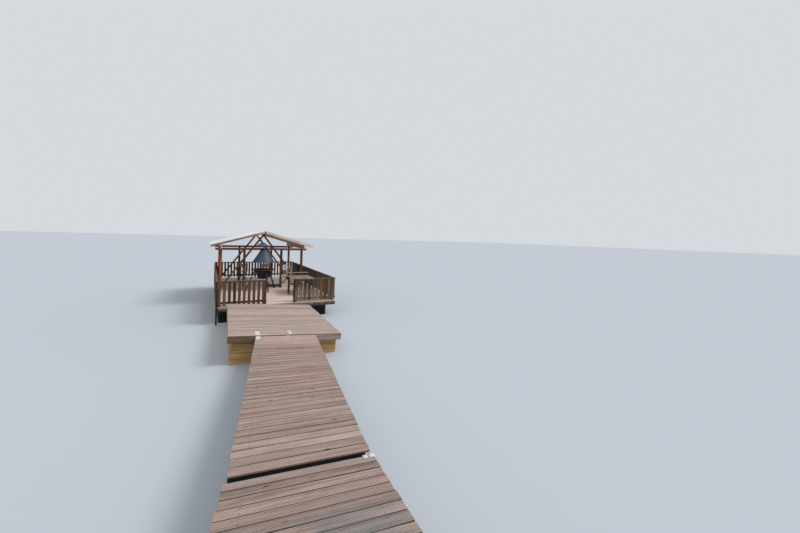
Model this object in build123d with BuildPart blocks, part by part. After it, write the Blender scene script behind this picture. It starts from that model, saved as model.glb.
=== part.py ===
# Lakeside jetty: a two-part gangway, a low pontoon and a fenced floating
# platform with an open gabled barbecue shelter, hooded fireplace and tables.
# Millimetres. +Y runs out over the water, +X is to the right, +Z is up.
# Origin: centre of the underside of the pontoon's middle float, at water level.
# The pontoon lists, its left side up, and lies a little turned from the platform.
import os
from math import atan, cos, degrees, hypot, pi, radians, sin, tan
from build123d import *

os.makedirs("parts", exist_ok=True)

# Decks and floats
deck_top = 600.0
board_t = 28.0
joist_h = 120.0
joist_t = 45.0
joist_pitch = 600.0
fascia_h = 150.0
fascia_t = 45.0
skirt_inset = 100.0
skirt_t = 45.0
skirt_reach = 900.0
pontoon_w = 2820.0
pontoon_l = 4100.0
pontoon_mid = 638.0
pontoon_list = 4.2
pontoon_turn = -1.9
module_gap = 240.0
platform_w = 4300.0
platform_l = 8600.0
platform_x = 440.0
float_inset = 60.0
left_float_inset = 100.0
right_float_inset = 300.0
platform_float_w = 1200.0
link_w = 100.0

# Gangway
walk_turn = 8.9
walk_x = -118.0
walk_y = -2100.0
walk_w = 1470.0
near_w = 1514.0
walk_end_z = 620.0
far_len = 5410.0
far_near_z = 818.0
section_gap = 80.0
near_step = 10.0
near_slope = 0.182
near_len = 2400.0
bearer_t = 50.0
bearer_h = 150.0
bearer_x = 560.0
cap_h = 120.0
cap_over = 80.0
pile_d = 140.0
end_clear = 5.0
ledger_h = 50.0
ledger_t = 60.0

# Railings
rail_h = 900.0
picket_w = 95.0
picket_t = 20.0
picket_pitch = 160.0
close_picket_w = 128.0
rail_t = 45.0
cap_rail_h = 45.0
low_rail_h = 70.0
low_rail_z = 100.0
picket_lift = 40.0
rail_post = 90.0
gate_x0 = -40.0
gate_x1 = 950.0

# Shelter
shelter_x = 290.0
post_s = 100.0
front_y = 6200.0
shelter_d = 3240.0
outer_x = 1790.0
inner_x = 820.0
beam_z = 2420.0
beam_h = 100.0
beam_half = 2020.0
plate_t = 50.0
seat_cut = 15.0
roof_half = 2260.0
roof_over = 580.0
ridge_z = 3330.0
eave_z = 2670.0
roof_t = 30.0
rafter_h = 80.0
rafter_t = 50.0
ridge_t = 60.0
ridge_h = 150.0
brace_s = 80.0
brace_foot = 1860.0

# Fireplace
fire_x = 250.0
fire_y = 5700.0
round_sides = 48
bowl_r = 390.0
bowl_base_r = 230.0
bowl_rim = 1540.0
bowl_h = 400.0
rim_w = 45.0
sheet_t = 6.0
shelf_r = 530.0
shelf_t = 25.0
fire_leg_w = 60.0
fire_leg_d = 40.0
fire_foot_r = 770.0
fire_leg_turn = 40.0
hood_z = 1900.0
hood_r = 470.0
neck_z = 2450.0
neck_r = 140.0
neck_h = 70.0
cap_z = 2630.0
cap_apex = 2825.0
cap_r = 290.0
cap_shift = 60.0
cap_tip = 10.0
strap_w = 25.0
rod_d = 30.0

# Furniture
table_z = 1320.0
table_t = 35.0
table_leg = 70.0
tx0 = 1180.0
tx1 = 2150.0
ty0 = 3650.0
ty1 = 5150.0
shelf_board_z = 1450.0
shelf_board_w = 200.0
chair_w = 500.0
chair_d = 420.0
seat_h = 450.0
chair_bar = 35.0
chair_back_h = 860.0
chair_back_w = 220.0
stool_s = 280.0
box_w = 500.0
box_l = 800.0
box_h = 250.0
plinth_h = 120.0

# Derived levels
under_deck = deck_top - board_t
joist_z = under_deck - joist_h
frame_h = board_t + joist_h
platform_y0 = pontoon_l / 2 + module_gap
platform_y1 = platform_y0 + platform_l
px0 = platform_x - platform_w / 2
px1 = platform_x + platform_w / 2
panel_t = picket_t + rail_t
rail_top = deck_top + rail_h
back_y = front_y + shelter_d
slope = (ridge_z - eave_z) / roof_half
roof_v = roof_t * hypot(1.0, slope)
rafter_v = rafter_h * hypot(1.0, slope)


# Level frame turned with the pontoon, and its listing frame with the deck's top at local z 0
tilt = radians(pontoon_list)
swing = radians(pontoon_turn)
turned = Plane.XY.rotated((0, 0, pontoon_turn))
listing = Plane(
    origin=(0, 0, pontoon_mid),
    x_dir=(cos(tilt) * cos(swing), cos(tilt) * sin(swing), -sin(tilt)),
    z_dir=(sin(tilt) * cos(swing), sin(tilt) * sin(swing), cos(tilt)),
)


def block(x0, x1, y0, y1, z0, z1, mode=Mode.ADD, frame=Plane.XY):
    # one sawn member, drawn on the plane of its underside
    with BuildSketch(frame.offset(z0)) as base:
        with Locations(((x0 + x1) / 2, (y0 + y1) / 2)):
            Rectangle(x1 - x0, y1 - y0)
    extrude(base.sketch, amount=z1 - z0, mode=mode)


def walk_plane(across=0.0):
    # upright plane along the gangway: local x towards the bank, local y up
    a = radians(walk_turn)
    here = (walk_x + across * cos(a), walk_y - across * sin(a), 0)
    return Plane(origin=here, x_dir=(-sin(a), -cos(a), 0), z_dir=(-cos(a), sin(a), 0))


def strip(x0, x1, top0, top1, depth, width, across=0.0, mode=Mode.ADD):
    # one sloping member of the gangway, its top running from top0 to top1
    with BuildSketch(walk_plane(across)) as side:
        Polygon((x0, top0), (x1, top1), (x1, top1 - depth), (x0, top0 - depth), align=None)
    extrude(side.sketch, amount=width / 2, both=True, mode=mode)


def far_top(x):
    return walk_end_z + (far_near_z - walk_end_z) * x / far_len


def on_walk(x, across):
    a = radians(walk_turn)
    east = walk_x - x * sin(a) + across * cos(a)
    north = walk_y - x * cos(a) - across * sin(a)
    return (east, north)


def far_piece(x0, x1, under, depth, across, width):
    # member of the far section, which twists from level at the bank to the pontoon's list
    a = radians(walk_turn)
    ends = []
    for x in (x0, x1):
        east, north = on_walk(x, 0)
        lean = tan(tilt) * (1 - x / far_len)
        s0 = across - width / 2
        s1 = across + width / 2
        t0 = far_top(x) - under - lean * s0
        t1 = far_top(x) - under - lean * s1
        with BuildSketch(Plane(origin=(east, north, 0), x_dir=(cos(a), -sin(a), 0), z_dir=(-sin(a), -cos(a), 0))) as end:
            Polygon((s0, t0), (s1, t1), (s1, t1 - depth), (s0, t0 - depth), align=None)
        ends.append(end.sketch)
    loft(sections=ends, ruled=True)


def walk_edge(across):
    # where the gangway's slanting end lies on a line along it
    a = radians(walk_turn + pontoon_turn)
    start = walk_y * cos(swing) - walk_x * sin(swing)
    return (start - wall_y + end_clear - across * sin(a)) / cos(a)


near_x0 = far_len + section_gap
near_x1 = near_x0 + near_len


def near_top(x):
    return far_near_z - near_step + near_slope * (x - near_x0)


trim = 400.0
ledger_top = -board_t - fascia_h
seat_gap = 0.3
joint_cap_top = near_top(near_x0) - board_t - bearer_h + 38.0
shore_x = near_x1 - 220.0
shore_cap_top = near_top(shore_x) - board_t - bearer_h + 14.0
joint_cap = (far_len - cap_over, near_x0 + cap_over)
shore_cap = (shore_x - cap_over, shore_x + cap_over)
wall_y = -pontoon_l / 2

# Near gangway deck
with BuildPart() as near_walkway_deck:
    strip(near_x0, near_x1, near_top(near_x0), near_top(near_x1), board_t, near_w)
near_walkway_deck.part.label = "near_walkway_deck"

# Near gangway bearers, notched over the two trestle caps
with BuildPart() as near_walkway_bearers:
    for side in (-1, 1):
        t0 = near_top(near_x0) - board_t
        t1 = near_top(near_x1) - board_t
        strip(near_x0, near_x1, t0, t1, bearer_h, bearer_t, side * bearer_x)
    strip(joint_cap[0], joint_cap[1], joint_cap_top, joint_cap_top, 200, 2000, 0, Mode.SUBTRACT)
    strip(shore_cap[0], shore_cap[1], shore_cap_top, shore_cap_top, 200, 2000, 0, Mode.SUBTRACT)
near_walkway_bearers.part.label = "near_walkway_bearers"

# Far gangway deck, its end cut parallel to the pontoon
with BuildPart() as far_walkway_deck:
    far_piece(-trim, far_len, 0, board_t, 0, walk_w)
    block(-2000, 2000, wall_y - end_clear, 0, 0, 1000, Mode.SUBTRACT, turned)
far_walkway_deck.part.label = "far_walkway_deck"

# Far gangway bearers, notched over the ledger and the trestle cap
with BuildPart() as far_walkway_bearers:
    for side in (-1, 1):
        far_piece(-trim, far_len, board_t + seat_gap, bearer_h, side * bearer_x, bearer_t)
    block(-2000, 2000, wall_y - end_clear, 0, 0, 1000, Mode.SUBTRACT, turned)
    block(-2000, 2000, wall_y - ledger_t - end_clear, 0, -skirt_reach, ledger_top, Mode.SUBTRACT, listing)
    strip(joint_cap[0], joint_cap[1], joint_cap_top, joint_cap_top, 200, 2000, 0, Mode.SUBTRACT)
far_walkway_bearers.part.label = "far_walkway_bearers"

# Trestle caps under the gangway
with BuildPart() as trestle_caps:
    strip(joint_cap[0], joint_cap[1], joint_cap_top, joint_cap_top, cap_h, near_w)
    strip(shore_cap[0], shore_cap[1], shore_cap_top, shore_cap_top, cap_h, near_w)
trestle_caps.part.label = "trestle_caps"


# Round piles under the trestle caps
joint_x = (joint_cap[0] + joint_cap[1]) / 2
with BuildPart() as trestle_piles:
    with BuildSketch(Plane.XY):
        with Locations(on_walk(joint_x, -bearer_x), on_walk(joint_x, bearer_x)):
            Circle(pile_d / 2)
    extrude(amount=joint_cap_top - cap_h)
    with BuildSketch(Plane.XY):
        with Locations(on_walk(shore_x, -bearer_x), on_walk(shore_x, bearer_x)):
            Circle(pile_d / 2)
    extrude(amount=shore_cap_top - cap_h)
trestle_piles.part.label = "trestle_piles"

# Ledger on the pontoon's skirt that carries the gangway's end
pw = pontoon_w / 2
sx = pw - skirt_inset
sy = -wall_y - skirt_inset
with BuildPart() as pontoon_ledger:
    block(-850, 720, wall_y - ledger_t, -sy, ledger_top - ledger_h, ledger_top, frame=listing)
pontoon_ledger.part.label = "pontoon_ledger"

# Pale metal plates: one at the gap between the gangway sections, and two pairs of leaves at its
# joint with the pontoon, one leaf of each on the fascia and one on the gangway's boards
leaf_in = 12.0
leaf_len = 85.0
with BuildPart() as joint_plates:
    gp0 = near_x0 - 20.0
    gp1 = near_x0 + 85.0
    strip(gp0, gp1, near_top(gp0) + sheet_t, near_top(gp1) + sheet_t, sheet_t, 150, 675)
    for across, leaf_w in ((-680.0, 95.0), (30.0, 60.0)):
        f0 = walk_edge(across) + leaf_in
        far_piece(f0, f0 + leaf_len, -sheet_t - seat_gap, sheet_t, across, leaf_w)
    for leaf_x, leaf_w in ((-650.0, 120.0), (98.0, 75.0)):
        block(leaf_x - leaf_w / 2, leaf_x + leaf_w / 2, wall_y + leaf_in, wall_y + leaf_len, 0, sheet_t, frame=listing)
joint_plates.part.label = "joint_plates"

# Decks
with BuildPart() as pontoon_deck:
    block(-pw, pw, wall_y, -wall_y, -board_t, 0, frame=listing)
pontoon_deck.part.label = "pontoon_deck"

with BuildPart() as platform_deck:
    block(px0, px1, platform_y0, platform_y1, under_deck, deck_top)
platform_deck.part.label = "platform_deck"

# Fascia boards: the end boards run full width, the side boards fit between
fz = under_deck - fascia_h
low_edge = -board_t - fascia_h
inner_y = -wall_y - fascia_t
with BuildPart() as fascia_ends:
    block(-pw, pw, wall_y, -inner_y, low_edge, -board_t, frame=listing)
    block(-pw, pw, inner_y, -wall_y, low_edge, -board_t, frame=listing)
    block(px0, px1, platform_y0, platform_y0 + fascia_t, fz, under_deck)
    block(px0, px1, platform_y1 - fascia_t, platform_y1, fz, under_deck)
fascia_ends.part.label = "fascia_ends"

with BuildPart() as fascia_sides:
    block(-pw, -pw + fascia_t, -inner_y, inner_y, low_edge, -board_t, frame=listing)
    block(pw - fascia_t, pw, -inner_y, inner_y, low_edge, -board_t, frame=listing)
    block(px0, px0 + fascia_t, platform_y0 + fascia_t, platform_y1 - fascia_t, fz, under_deck)
    block(px1 - fascia_t, px1, platform_y0 + fascia_t, platform_y1 - fascia_t, fz, under_deck)
fascia_sides.part.label = "fascia_sides"

# Joists along both frames, under the boards that lie across
with BuildPart() as deck_joists:
    for x0, x1, y0, y1, frame, z in (
        (-sx, sx, -inner_y, inner_y, listing, -frame_h),
        (px0 + skirt_inset, px1 - skirt_inset, platform_y0 + fascia_t, platform_y1 - fascia_t, Plane.XY, joist_z),
    ):
        bays = round((x1 - x0 - joist_t) / joist_pitch)
        pitch = (x1 - x0 - joist_t) / bays
        with BuildSketch(frame.offset(z)) as rows:
            with Locations(((x0 + x1) / 2, (y0 + y1) / 2)):
                with GridLocations(pitch, pitch, bays + 1, 1):
                    Rectangle(joist_t, y1 - y0)
        extrude(rows.sketch, amount=joist_h)
deck_joists.part.label = "deck_joists"


def cut_at_water():
    # what lies under the water's level is taken off
    block(-pontoon_w, pontoon_w, -pontoon_l, pontoon_l, -skirt_reach, 0, Mode.SUBTRACT)


# Recessed skirt boards round the pontoon's floats
with BuildPart() as skirt_ends:
    block(-sx, sx, -sy, -sy + skirt_t, -skirt_reach, -frame_h, frame=listing)
    block(-sx, sx, sy - skirt_t, sy, -skirt_reach, -frame_h, frame=listing)
    cut_at_water()
skirt_ends.part.label = "skirt_ends"

with BuildPart() as skirt_sides:
    block(-sx, -sx + skirt_t, -sy + skirt_t, sy - skirt_t, -skirt_reach, -frame_h, frame=listing)
    block(sx - skirt_t, sx, -sy + skirt_t, sy - skirt_t, -skirt_reach, -frame_h, frame=listing)
    cut_at_water()
skirt_sides.part.label = "skirt_sides"

# Floats: three under the pontoon, centred on the origin at the water, and two rows of four
# under the platform
float_shift = pontoon_mid * sin(tilt)
fx = sx - skirt_t - float_inset - float_shift
with BuildPart() as pontoon_floats:
    for y in (-1250.0, 0.0, 1250.0):
        block(float_shift - fx, float_shift + fx, y - 500, y + 500, -skirt_reach, -frame_h, frame=listing)
    cut_at_water()
pontoon_floats.part.label = "pontoon_floats"

fw = platform_float_w
with BuildPart() as platform_floats:
    for x in (px0 + left_float_inset, px1 - right_float_inset - fw):
        for i in range(4):
            y = platform_y0 + platform_l * (i + 0.5) / 4
            block(x, x + fw, y - 850, y + 850, 0, joist_z)
platform_floats.part.label = "platform_floats"

# Links between pontoon and platform, cut back to the pontoon's slanting end
with BuildPart() as module_links:
    for x in (-350.0, 900.0):
        block(x - link_w / 2, x + link_w / 2, sy, platform_y0, fz + 80, fz + 130)
    block(-pw, pw, 0, -wall_y, -skirt_reach, 0, Mode.SUBTRACT, listing)
module_links.part.label = "module_links"

# Pole in front of the platform's left front corner, down to the water, on a short bracket
pole_d = 60.0
pole_top = 1230.0
pole_gap = 5.0
pole_x = px0 + 35.0
pole_y = platform_y0 - pole_gap - pole_d / 2
with BuildPart() as corner_pole:
    with BuildSketch(Plane.XY):
        with Locations((pole_x, pole_y)):
            Circle(pole_d / 2)
    extrude(amount=pole_top)
    block(pole_x - pole_d / 4, pole_x + pole_d / 4, pole_y, platform_y0, fz + 50, fz + 100)
corner_pole.part.label = "corner_pole"


def panel(x0, x1, y0, y1, face, board_w=picket_w):
    # fence panel: upright boards outside, cap rail and low rail inside
    along_x = face in ("front", "back")
    length = (x1 - x0) if along_x else (y1 - y0)
    count = int((length - board_w) // picket_pitch) + 1
    low = deck_top + low_rail_z
    base = deck_top + picket_lift
    cx = (x0 + x1) / 2
    cy = (y0 + y1) / 2
    block(x0, x1, y0, y1, rail_top - cap_rail_h, rail_top)
    if along_x:
        out = y0 + picket_t / 2 if face == "front" else y1 - picket_t / 2
        inner = (y0 + picket_t, y1) if face == "front" else (y0, y1 - picket_t)
        block(x0, x1, inner[0], inner[1], low, low + low_rail_h)
        with BuildSketch(Plane.XY.offset(base)) as boards:
            with Locations((cx, out)):
                with GridLocations(picket_pitch, picket_pitch, count, 1):
                    Rectangle(board_w, picket_t)
    else:
        out = x0 + picket_t / 2 if face == "left" else x1 - picket_t / 2
        inner = (x0 + picket_t, x1) if face == "left" else (x0, x1 - picket_t)
        block(inner[0], inner[1], y0, y1, low, low + low_rail_h)
        with BuildSketch(Plane.XY.offset(base)) as boards:
            with Locations((out, cy)):
                with GridLocations(picket_pitch, picket_pitch, 1, count):
                    Rectangle(picket_t, board_w)
    extrude(boards.sketch, amount=rail_top - cap_rail_h - base)


# Fence panels
with BuildPart() as front_rail_left:
    panel(px0, gate_x0, platform_y0, platform_y0 + panel_t, "front")
front_rail_left.part.label = "front_rail_left"

with BuildPart() as front_rail_right:
    panel(gate_x1, px1, platform_y0, platform_y0 + panel_t, "front", close_picket_w)
front_rail_right.part.label = "front_rail_right"

with BuildPart() as left_rail:
    panel(px0, px0 + panel_t, platform_y0 + panel_t, platform_y1 - panel_t, "left")
left_rail.part.label = "left_rail"

with BuildPart() as right_rail:
    panel(px1 - panel_t, px1, platform_y0 + panel_t, platform_y1 - panel_t, "right")
right_rail.part.label = "right_rail"

with BuildPart() as back_rail:
    panel(px0, px1, platform_y1 - panel_t, platform_y1, "back")
back_rail.part.label = "back_rail"

# Fence posts inside the panels
lx = px0 + panel_t + rail_post / 2
rx = px1 - panel_t - rail_post / 2
fy = platform_y0 + panel_t + rail_post / 2
by = platform_y1 - panel_t - rail_post / 2
post_spots = [(lx, fy), (gate_x0 - rail_post / 2, fy), (gate_x1 + rail_post / 2, fy), (rx, fy)]
post_spots += [(lx, by), (platform_x, by), (rx, by)]
post_spots += [(x, y) for x in (lx, rx) for y in (4500.0, 6700.0, 8900.0)]
with BuildPart() as rail_posts:
    with BuildSketch(Plane.XY.offset(deck_top)):
        with Locations(*post_spots):
            Rectangle(rail_post, rail_post)
    extrude(amount=rail_h - cap_rail_h)
rail_posts.part.label = "rail_posts"

# Shelter posts in two rows of four
with BuildPart() as shelter_posts:
    with BuildSketch(Plane.XY.offset(deck_top)):
        spots = [(shelter_x + x, y) for x in (-outer_x, -inner_x, inner_x, outer_x) for y in (front_y, back_y)]
        with Locations(*spots):
            Rectangle(post_s, post_s)
    extrude(amount=beam_z - deck_top)
shelter_posts.part.label = "shelter_posts"

# Cross beams on the two rows of posts
bx0 = shelter_x - beam_half
bx1 = shelter_x + beam_half
with BuildPart() as cross_beams:
    for y in (front_y, back_y):
        block(bx0, bx1, y - post_s / 2, y + post_s / 2, beam_z, beam_z + beam_h)
cross_beams.part.label = "cross_beams"

# Plates along the eaves, on the cross beams
plate_z = beam_z + beam_h
plate_top = ridge_z - slope * (outer_x + plate_t / 2) - roof_v - rafter_v + seat_cut
ry0 = front_y - roof_over
ry1 = back_y + roof_over
with BuildPart() as side_plates:
    for x in (shelter_x - outer_x, shelter_x + outer_x):
        block(x - plate_t / 2, x + plate_t / 2, ry0, ry1, plate_z, plate_top)
side_plates.part.label = "side_plates"

# Ridge beam
ridge_top = ridge_z - slope * ridge_t / 2 - roof_v
with BuildPart() as ridge_beam:
    block(shelter_x - ridge_t / 2, shelter_x + ridge_t / 2, ry0, ry1, ridge_top - ridge_h, ridge_top)
ridge_beam.part.label = "ridge_beam"

# Long braces from the deck to the ridge, behind the posts of each row
brace_top = ridge_top - ridge_h
rise = brace_top - deck_top
half = brace_s / 2 * hypot(1.0, brace_foot / rise)
meet = deck_top + rise * (brace_foot - half) / brace_foot


def brace(side, y):
    with BuildSketch(Plane(origin=(shelter_x, y, 0), x_dir=(1, 0, 0), z_dir=(0, -1, 0))) as pole:
        Polygon(
            (side * (brace_foot + half), deck_top),
            (side * (brace_foot - half), deck_top),
            (0, meet),
            (0, brace_top),
            (side * half, brace_top),
            align=None,
        )
    extrude(pole.sketch, amount=brace_s / 2, both=True)


brace_y = post_s / 2 + brace_s / 2
with BuildPart() as braces_left:
    brace(-1, front_y + brace_y)
    brace(-1, back_y - brace_y)
braces_left.part.label = "braces_left"

with BuildPart() as braces_right:
    brace(1, front_y + brace_y)
    brace(1, back_y - brace_y)
braces_right.part.label = "braces_right"

# Rafters, seated on the plates and butted to the ridge beam
rafter_ys = [ry0 + rafter_t / 2, front_y, front_y + shelter_d / 3]
rafter_ys += [back_y - shelter_d / 3, back_y, ry1 - rafter_t / 2]
tail = roof_half - 60.0


def rafter(side, y):
    x0 = ridge_t / 2
    z0 = ridge_z - slope * x0 - roof_v
    z1 = ridge_z - slope * tail - roof_v
    with BuildSketch(Plane(origin=(shelter_x, y, 0), x_dir=(1, 0, 0), z_dir=(0, -1, 0))) as bar:
        Polygon(
            (side * x0, z0),
            (side * tail, z1),
            (side * tail, z1 - rafter_v),
            (side * x0, z0 - rafter_v),
            align=None,
        )
    extrude(bar.sketch, amount=rafter_t / 2, both=True)


with BuildPart() as rafters:
    for y in rafter_ys:
        rafter(-1, y)
        rafter(1, y)
    for x in (shelter_x - outer_x, shelter_x + outer_x):
        block(x - plate_t / 2, x + plate_t / 2, ry0, ry1, plate_z, plate_top, Mode.SUBTRACT)
rafters.part.label = "rafters"


def slope_sheet(side):
    with BuildSketch(Plane(origin=(shelter_x, ry0, 0), x_dir=(1, 0, 0), z_dir=(0, -1, 0))) as edge:
        Polygon(
            (0, ridge_z),
            (side * roof_half, eave_z),
            (side * roof_half, eave_z - roof_v),
            (0, ridge_z - roof_v),
            align=None,
        )
    extrude(edge.sketch, amount=-(ry1 - ry0))


# Roof slopes
with BuildPart() as roof_left:
    slope_sheet(-1)
roof_left.part.label = "roof_left"

with BuildPart() as roof_right:
    slope_sheet(1)
roof_right.part.label = "roof_right"


def round_piece(r0, z0, r1, z1, mode=Mode.ADD, x=fire_x):
    # upright round piece of the fireplace, straight or tapered, as a prism of many sides that
    # is drawn at its wider end
    wide, narrow, z, way = (r0, r1, z0, 1) if r0 >= r1 else (r1, r0, z1, -1)
    lean = degrees(atan((wide - narrow) * cos(pi / round_sides) / (z1 - z0)))
    with BuildSketch(Plane(origin=(x, fire_y, z), x_dir=(1, 0, 0), z_dir=(0, 0, way))) as ring:
        RegularPolygon(wide, round_sides)
    extrude(ring.sketch, amount=z1 - z0, taper=lean, mode=mode)


# Fire bowl with a flat rim
bowl_base = bowl_rim - bowl_h
bowl_top_r = bowl_r - rim_w
with BuildPart() as fire_bowl:
    round_piece(bowl_base_r, bowl_base, bowl_top_r, bowl_rim)
    round_piece(bowl_r, bowl_rim - sheet_t, bowl_r, bowl_rim)
    round_piece(
        bowl_base_r - sheet_t, bowl_base + sheet_t, bowl_top_r - sheet_t, bowl_rim, Mode.SUBTRACT
    )
fire_bowl.part.label = "fire_bowl"

# Ring shelf lying on the bowl's rim
shelf_top = bowl_rim + shelf_t
with BuildPart() as fire_shelf:
    round_piece(shelf_r, bowl_rim, shelf_r, shelf_top)
    round_piece(bowl_top_r, bowl_rim, bowl_top_r, shelf_top, Mode.SUBTRACT)
fire_shelf.part.label = "fire_shelf"

# Three splayed legs under the bowl's rim
with BuildPart() as fire_stand:
    for i in range(3):
        a = radians(fire_leg_turn + 120 * i)
        upright = Plane(origin=(fire_x, fire_y, 0), x_dir=(cos(a), sin(a), 0), z_dir=(sin(a), -cos(a), 0))
        with BuildSketch(upright):
            Polygon(
                (bowl_r - fire_leg_d, bowl_rim - sheet_t),
                (bowl_r, bowl_rim - sheet_t),
                (fire_foot_r, deck_top),
                (fire_foot_r - fire_leg_d, deck_top),
                align=None,
            )
        extrude(amount=fire_leg_w / 2, both=True)
fire_stand.part.label = "fire_stand"

# Hood: a thin cone open below, with a short open neck
with BuildPart() as hood:
    round_piece(hood_r, hood_z, neck_r, neck_z)
    round_piece(neck_r, neck_z, neck_r, neck_z + neck_h)
    round_piece(hood_r - sheet_t, hood_z, neck_r - sheet_t, neck_z, Mode.SUBTRACT)
    round_piece(neck_r - sheet_t, neck_z, neck_r - sheet_t, neck_z + neck_h, Mode.SUBTRACT)
hood.part.label = "hood"

# Rods from the ring shelf up to the hood, trimmed to its inside
rod_r = bowl_r - rim_w / 2
flat = cos(pi / round_sides)
with BuildPart() as hood_supports:
    with BuildSketch(Plane.XY.offset(shelf_top)):
        with Locations((fire_x, fire_y)):
            with PolarLocations(rod_r, 3):
                Circle(rod_d / 2)
    extrude(amount=neck_z - shelf_top)
    with BuildSketch(Plane(origin=(fire_x, fire_y, 0), x_dir=(1, 0, 0), z_dir=(0, -1, 0))):
        Polygon(
            (0, shelf_top),
            (flat * (hood_r - sheet_t), shelf_top),
            (flat * (hood_r - sheet_t), hood_z),
            (flat * (neck_r - sheet_t), neck_z),
            (0, neck_z),
            align=None,
        )
    revolve(axis=Axis((fire_x, fire_y, 0), (0, 0, 1)), mode=Mode.INTERSECT)
hood_supports.part.label = "hood_supports"

# Small cap on four straps that stand on the neck; it sits a little to the left of the hood
cap_x = fire_x - cap_shift
strap_r = neck_r - sheet_t / 2
with BuildPart() as hood_cap:
    round_piece(cap_r, cap_z, cap_tip, cap_apex, x=cap_x)
    round_piece(cap_r - 2 * sheet_t, cap_z, cap_tip / 5, cap_apex - 1.5 * sheet_t, Mode.SUBTRACT, cap_x)
    for i in range(4):
        a = radians(90 * i)
        foot = (fire_x + strap_r * cos(a), fire_y + strap_r * sin(a), neck_z + neck_h)
        from_axis = hypot(foot[0] - cap_x, foot[1] - fire_y)
        strap_top = cap_z + (cap_apex - cap_z) * (1 - from_axis / cap_r) - sheet_t
        with BuildSketch(Plane(origin=foot, x_dir=(cos(a), sin(a), 0), z_dir=(0, 0, 1))):
            Rectangle(sheet_t, strap_w)
        extrude(amount=strap_top - foot[2])
hood_cap.part.label = "hood_cap"

# Long table by the right-hand fence, with a raised board across its far end
tl = table_leg / 2
with BuildPart() as right_table:
    block(tx0, tx1, ty0, ty1, table_z - table_t, table_z)
    for x in (tx0 + 90, tx1 - 90):
        for y in (ty0 + 150, ty1 - 150):
            block(x - tl, x + tl, y - tl, y + tl, deck_top, table_z - table_t)
        block(x - tl, x + tl, ty1 - shelf_board_w, ty1, table_z, shelf_board_z - sheet_t)
    block(tx0 + 40, tx1, ty1 - shelf_board_w, ty1, shelf_board_z - 4 * sheet_t, shelf_board_z)
right_table.part.label = "right_table"


def chair_plane(x, y, turn, ahead=0.0):
    # upright plane across a chair, its normal the way the chair faces
    a = radians(turn)
    here = (x + ahead * sin(a), y - ahead * cos(a), deck_top)
    return Plane(origin=here, x_dir=(cos(a), sin(a), 0), z_dir=(sin(a), -cos(a), 0))


def folding_chair(x, y, turn):
    # crossed legs front and back, foot rails, a seat between two rails, and a back on two posts
    hw = chair_w / 2
    mid = hw - chair_bar / 2
    for ahead in (chair_d / 2 - chair_bar, chair_bar - chair_d / 2):
        with BuildSketch(chair_plane(x, y, turn, ahead)) as cross:
            for s in (-1, 1):
                Polygon(
                    (-s * hw, 0),
                    (-s * (hw - chair_bar), 0),
                    (s * hw, seat_h),
                    (s * (hw - chair_bar), seat_h),
                    align=None,
                )
        extrude(cross.sketch, amount=chair_bar / 4, both=True)
    with BuildSketch(chair_plane(x, y, turn)) as rails:
        with Locations((-mid, chair_bar / 2), (mid, chair_bar / 2)):
            Rectangle(chair_bar, chair_bar)
        with Locations((0, seat_h - chair_bar / 2)):
            Rectangle(chair_w, chair_bar)
    extrude(rails.sketch, amount=chair_d / 2, both=True)
    with BuildSketch(chair_plane(x, y, turn, chair_bar / 2 - chair_d / 2)) as back:
        with Locations((-mid, (seat_h + chair_back_h) / 2), (mid, (seat_h + chair_back_h) / 2)):
            Rectangle(chair_bar, chair_back_h - seat_h)
        with Locations((0, chair_back_h - chair_back_w / 2)):
            Rectangle(chair_w - chair_bar, chair_back_w)
    extrude(back.sketch, amount=chair_bar / 4, both=True)


# Three folding chairs and a stool
stool_x = 1240.0
stool_y = 4220.0
half_stool = stool_s / 2
with BuildPart() as deck_seats:
    folding_chair(-330, 9850, -15)
    folding_chair(970, 9800, 8)
    folding_chair(1720, 7800, 0)
    block(
        stool_x - half_stool,
        stool_x + half_stool,
        stool_y - half_stool,
        stool_y + half_stool,
        deck_top + seat_h - chair_bar,
        deck_top + seat_h,
    )
    with BuildSketch(Plane.XY.offset(deck_top)):
        with Locations((stool_x, stool_y)):
            with GridLocations(stool_s - chair_bar, stool_s - chair_bar, 2, 2):
                Rectangle(chair_bar, chair_bar)
    extrude(amount=seat_h - chair_bar)
deck_seats.part.label = "deck_seats"

# Pale box with a lid on a low plinth inside the shelter
bx = 910.0
by0 = 6560.0
box_z = deck_top + plinth_h
with BuildPart() as storage_box:
    block(bx - box_w / 2, bx + box_w / 2, by0, by0 + box_l, deck_top, box_z)
    block(bx - box_w / 2 + 20, bx + box_w / 2 - 20, by0 + 20, by0 + box_l - 20, box_z, box_z + box_h - 40)
    block(bx - box_w / 2, bx + box_w / 2, by0, by0 + box_l, box_z + box_h - 40, box_z + box_h)
storage_box.part.label = "storage_box"

# Small white ring hung on the right front brace
ring_y = front_y + post_s / 2
with BuildPart() as hung_ring:
    with BuildSketch(Plane(origin=(1300, ring_y, 1580), x_dir=(1, 0, 0), z_dir=(0, -1, 0))):
        Circle(135)
        Circle(55, mode=Mode.SUBTRACT)
    extrude(amount=40)
hung_ring.part.label = "hung_ring"

everything = [near_walkway_deck, near_walkway_bearers, far_walkway_deck, far_walkway_bearers]
everything += [trestle_caps, trestle_piles, joint_plates, pontoon_ledger]
everything += [pontoon_deck, platform_deck, fascia_ends, fascia_sides, deck_joists]
everything += [skirt_ends, skirt_sides, pontoon_floats, platform_floats, module_links]
everything += [corner_pole, front_rail_left, front_rail_right, left_rail, right_rail, back_rail]
everything += [rail_posts, shelter_posts, cross_beams, side_plates, ridge_beam]
everything += [braces_left, braces_right, rafters, roof_left, roof_right]
everything += [fire_bowl, fire_shelf, fire_stand, hood, hood_supports, hood_cap]
everything += [right_table, deck_seats, storage_box, hung_ring]
for item in everything:
    export_step(item.part, "parts/" + item.part.label + ".step")
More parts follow.
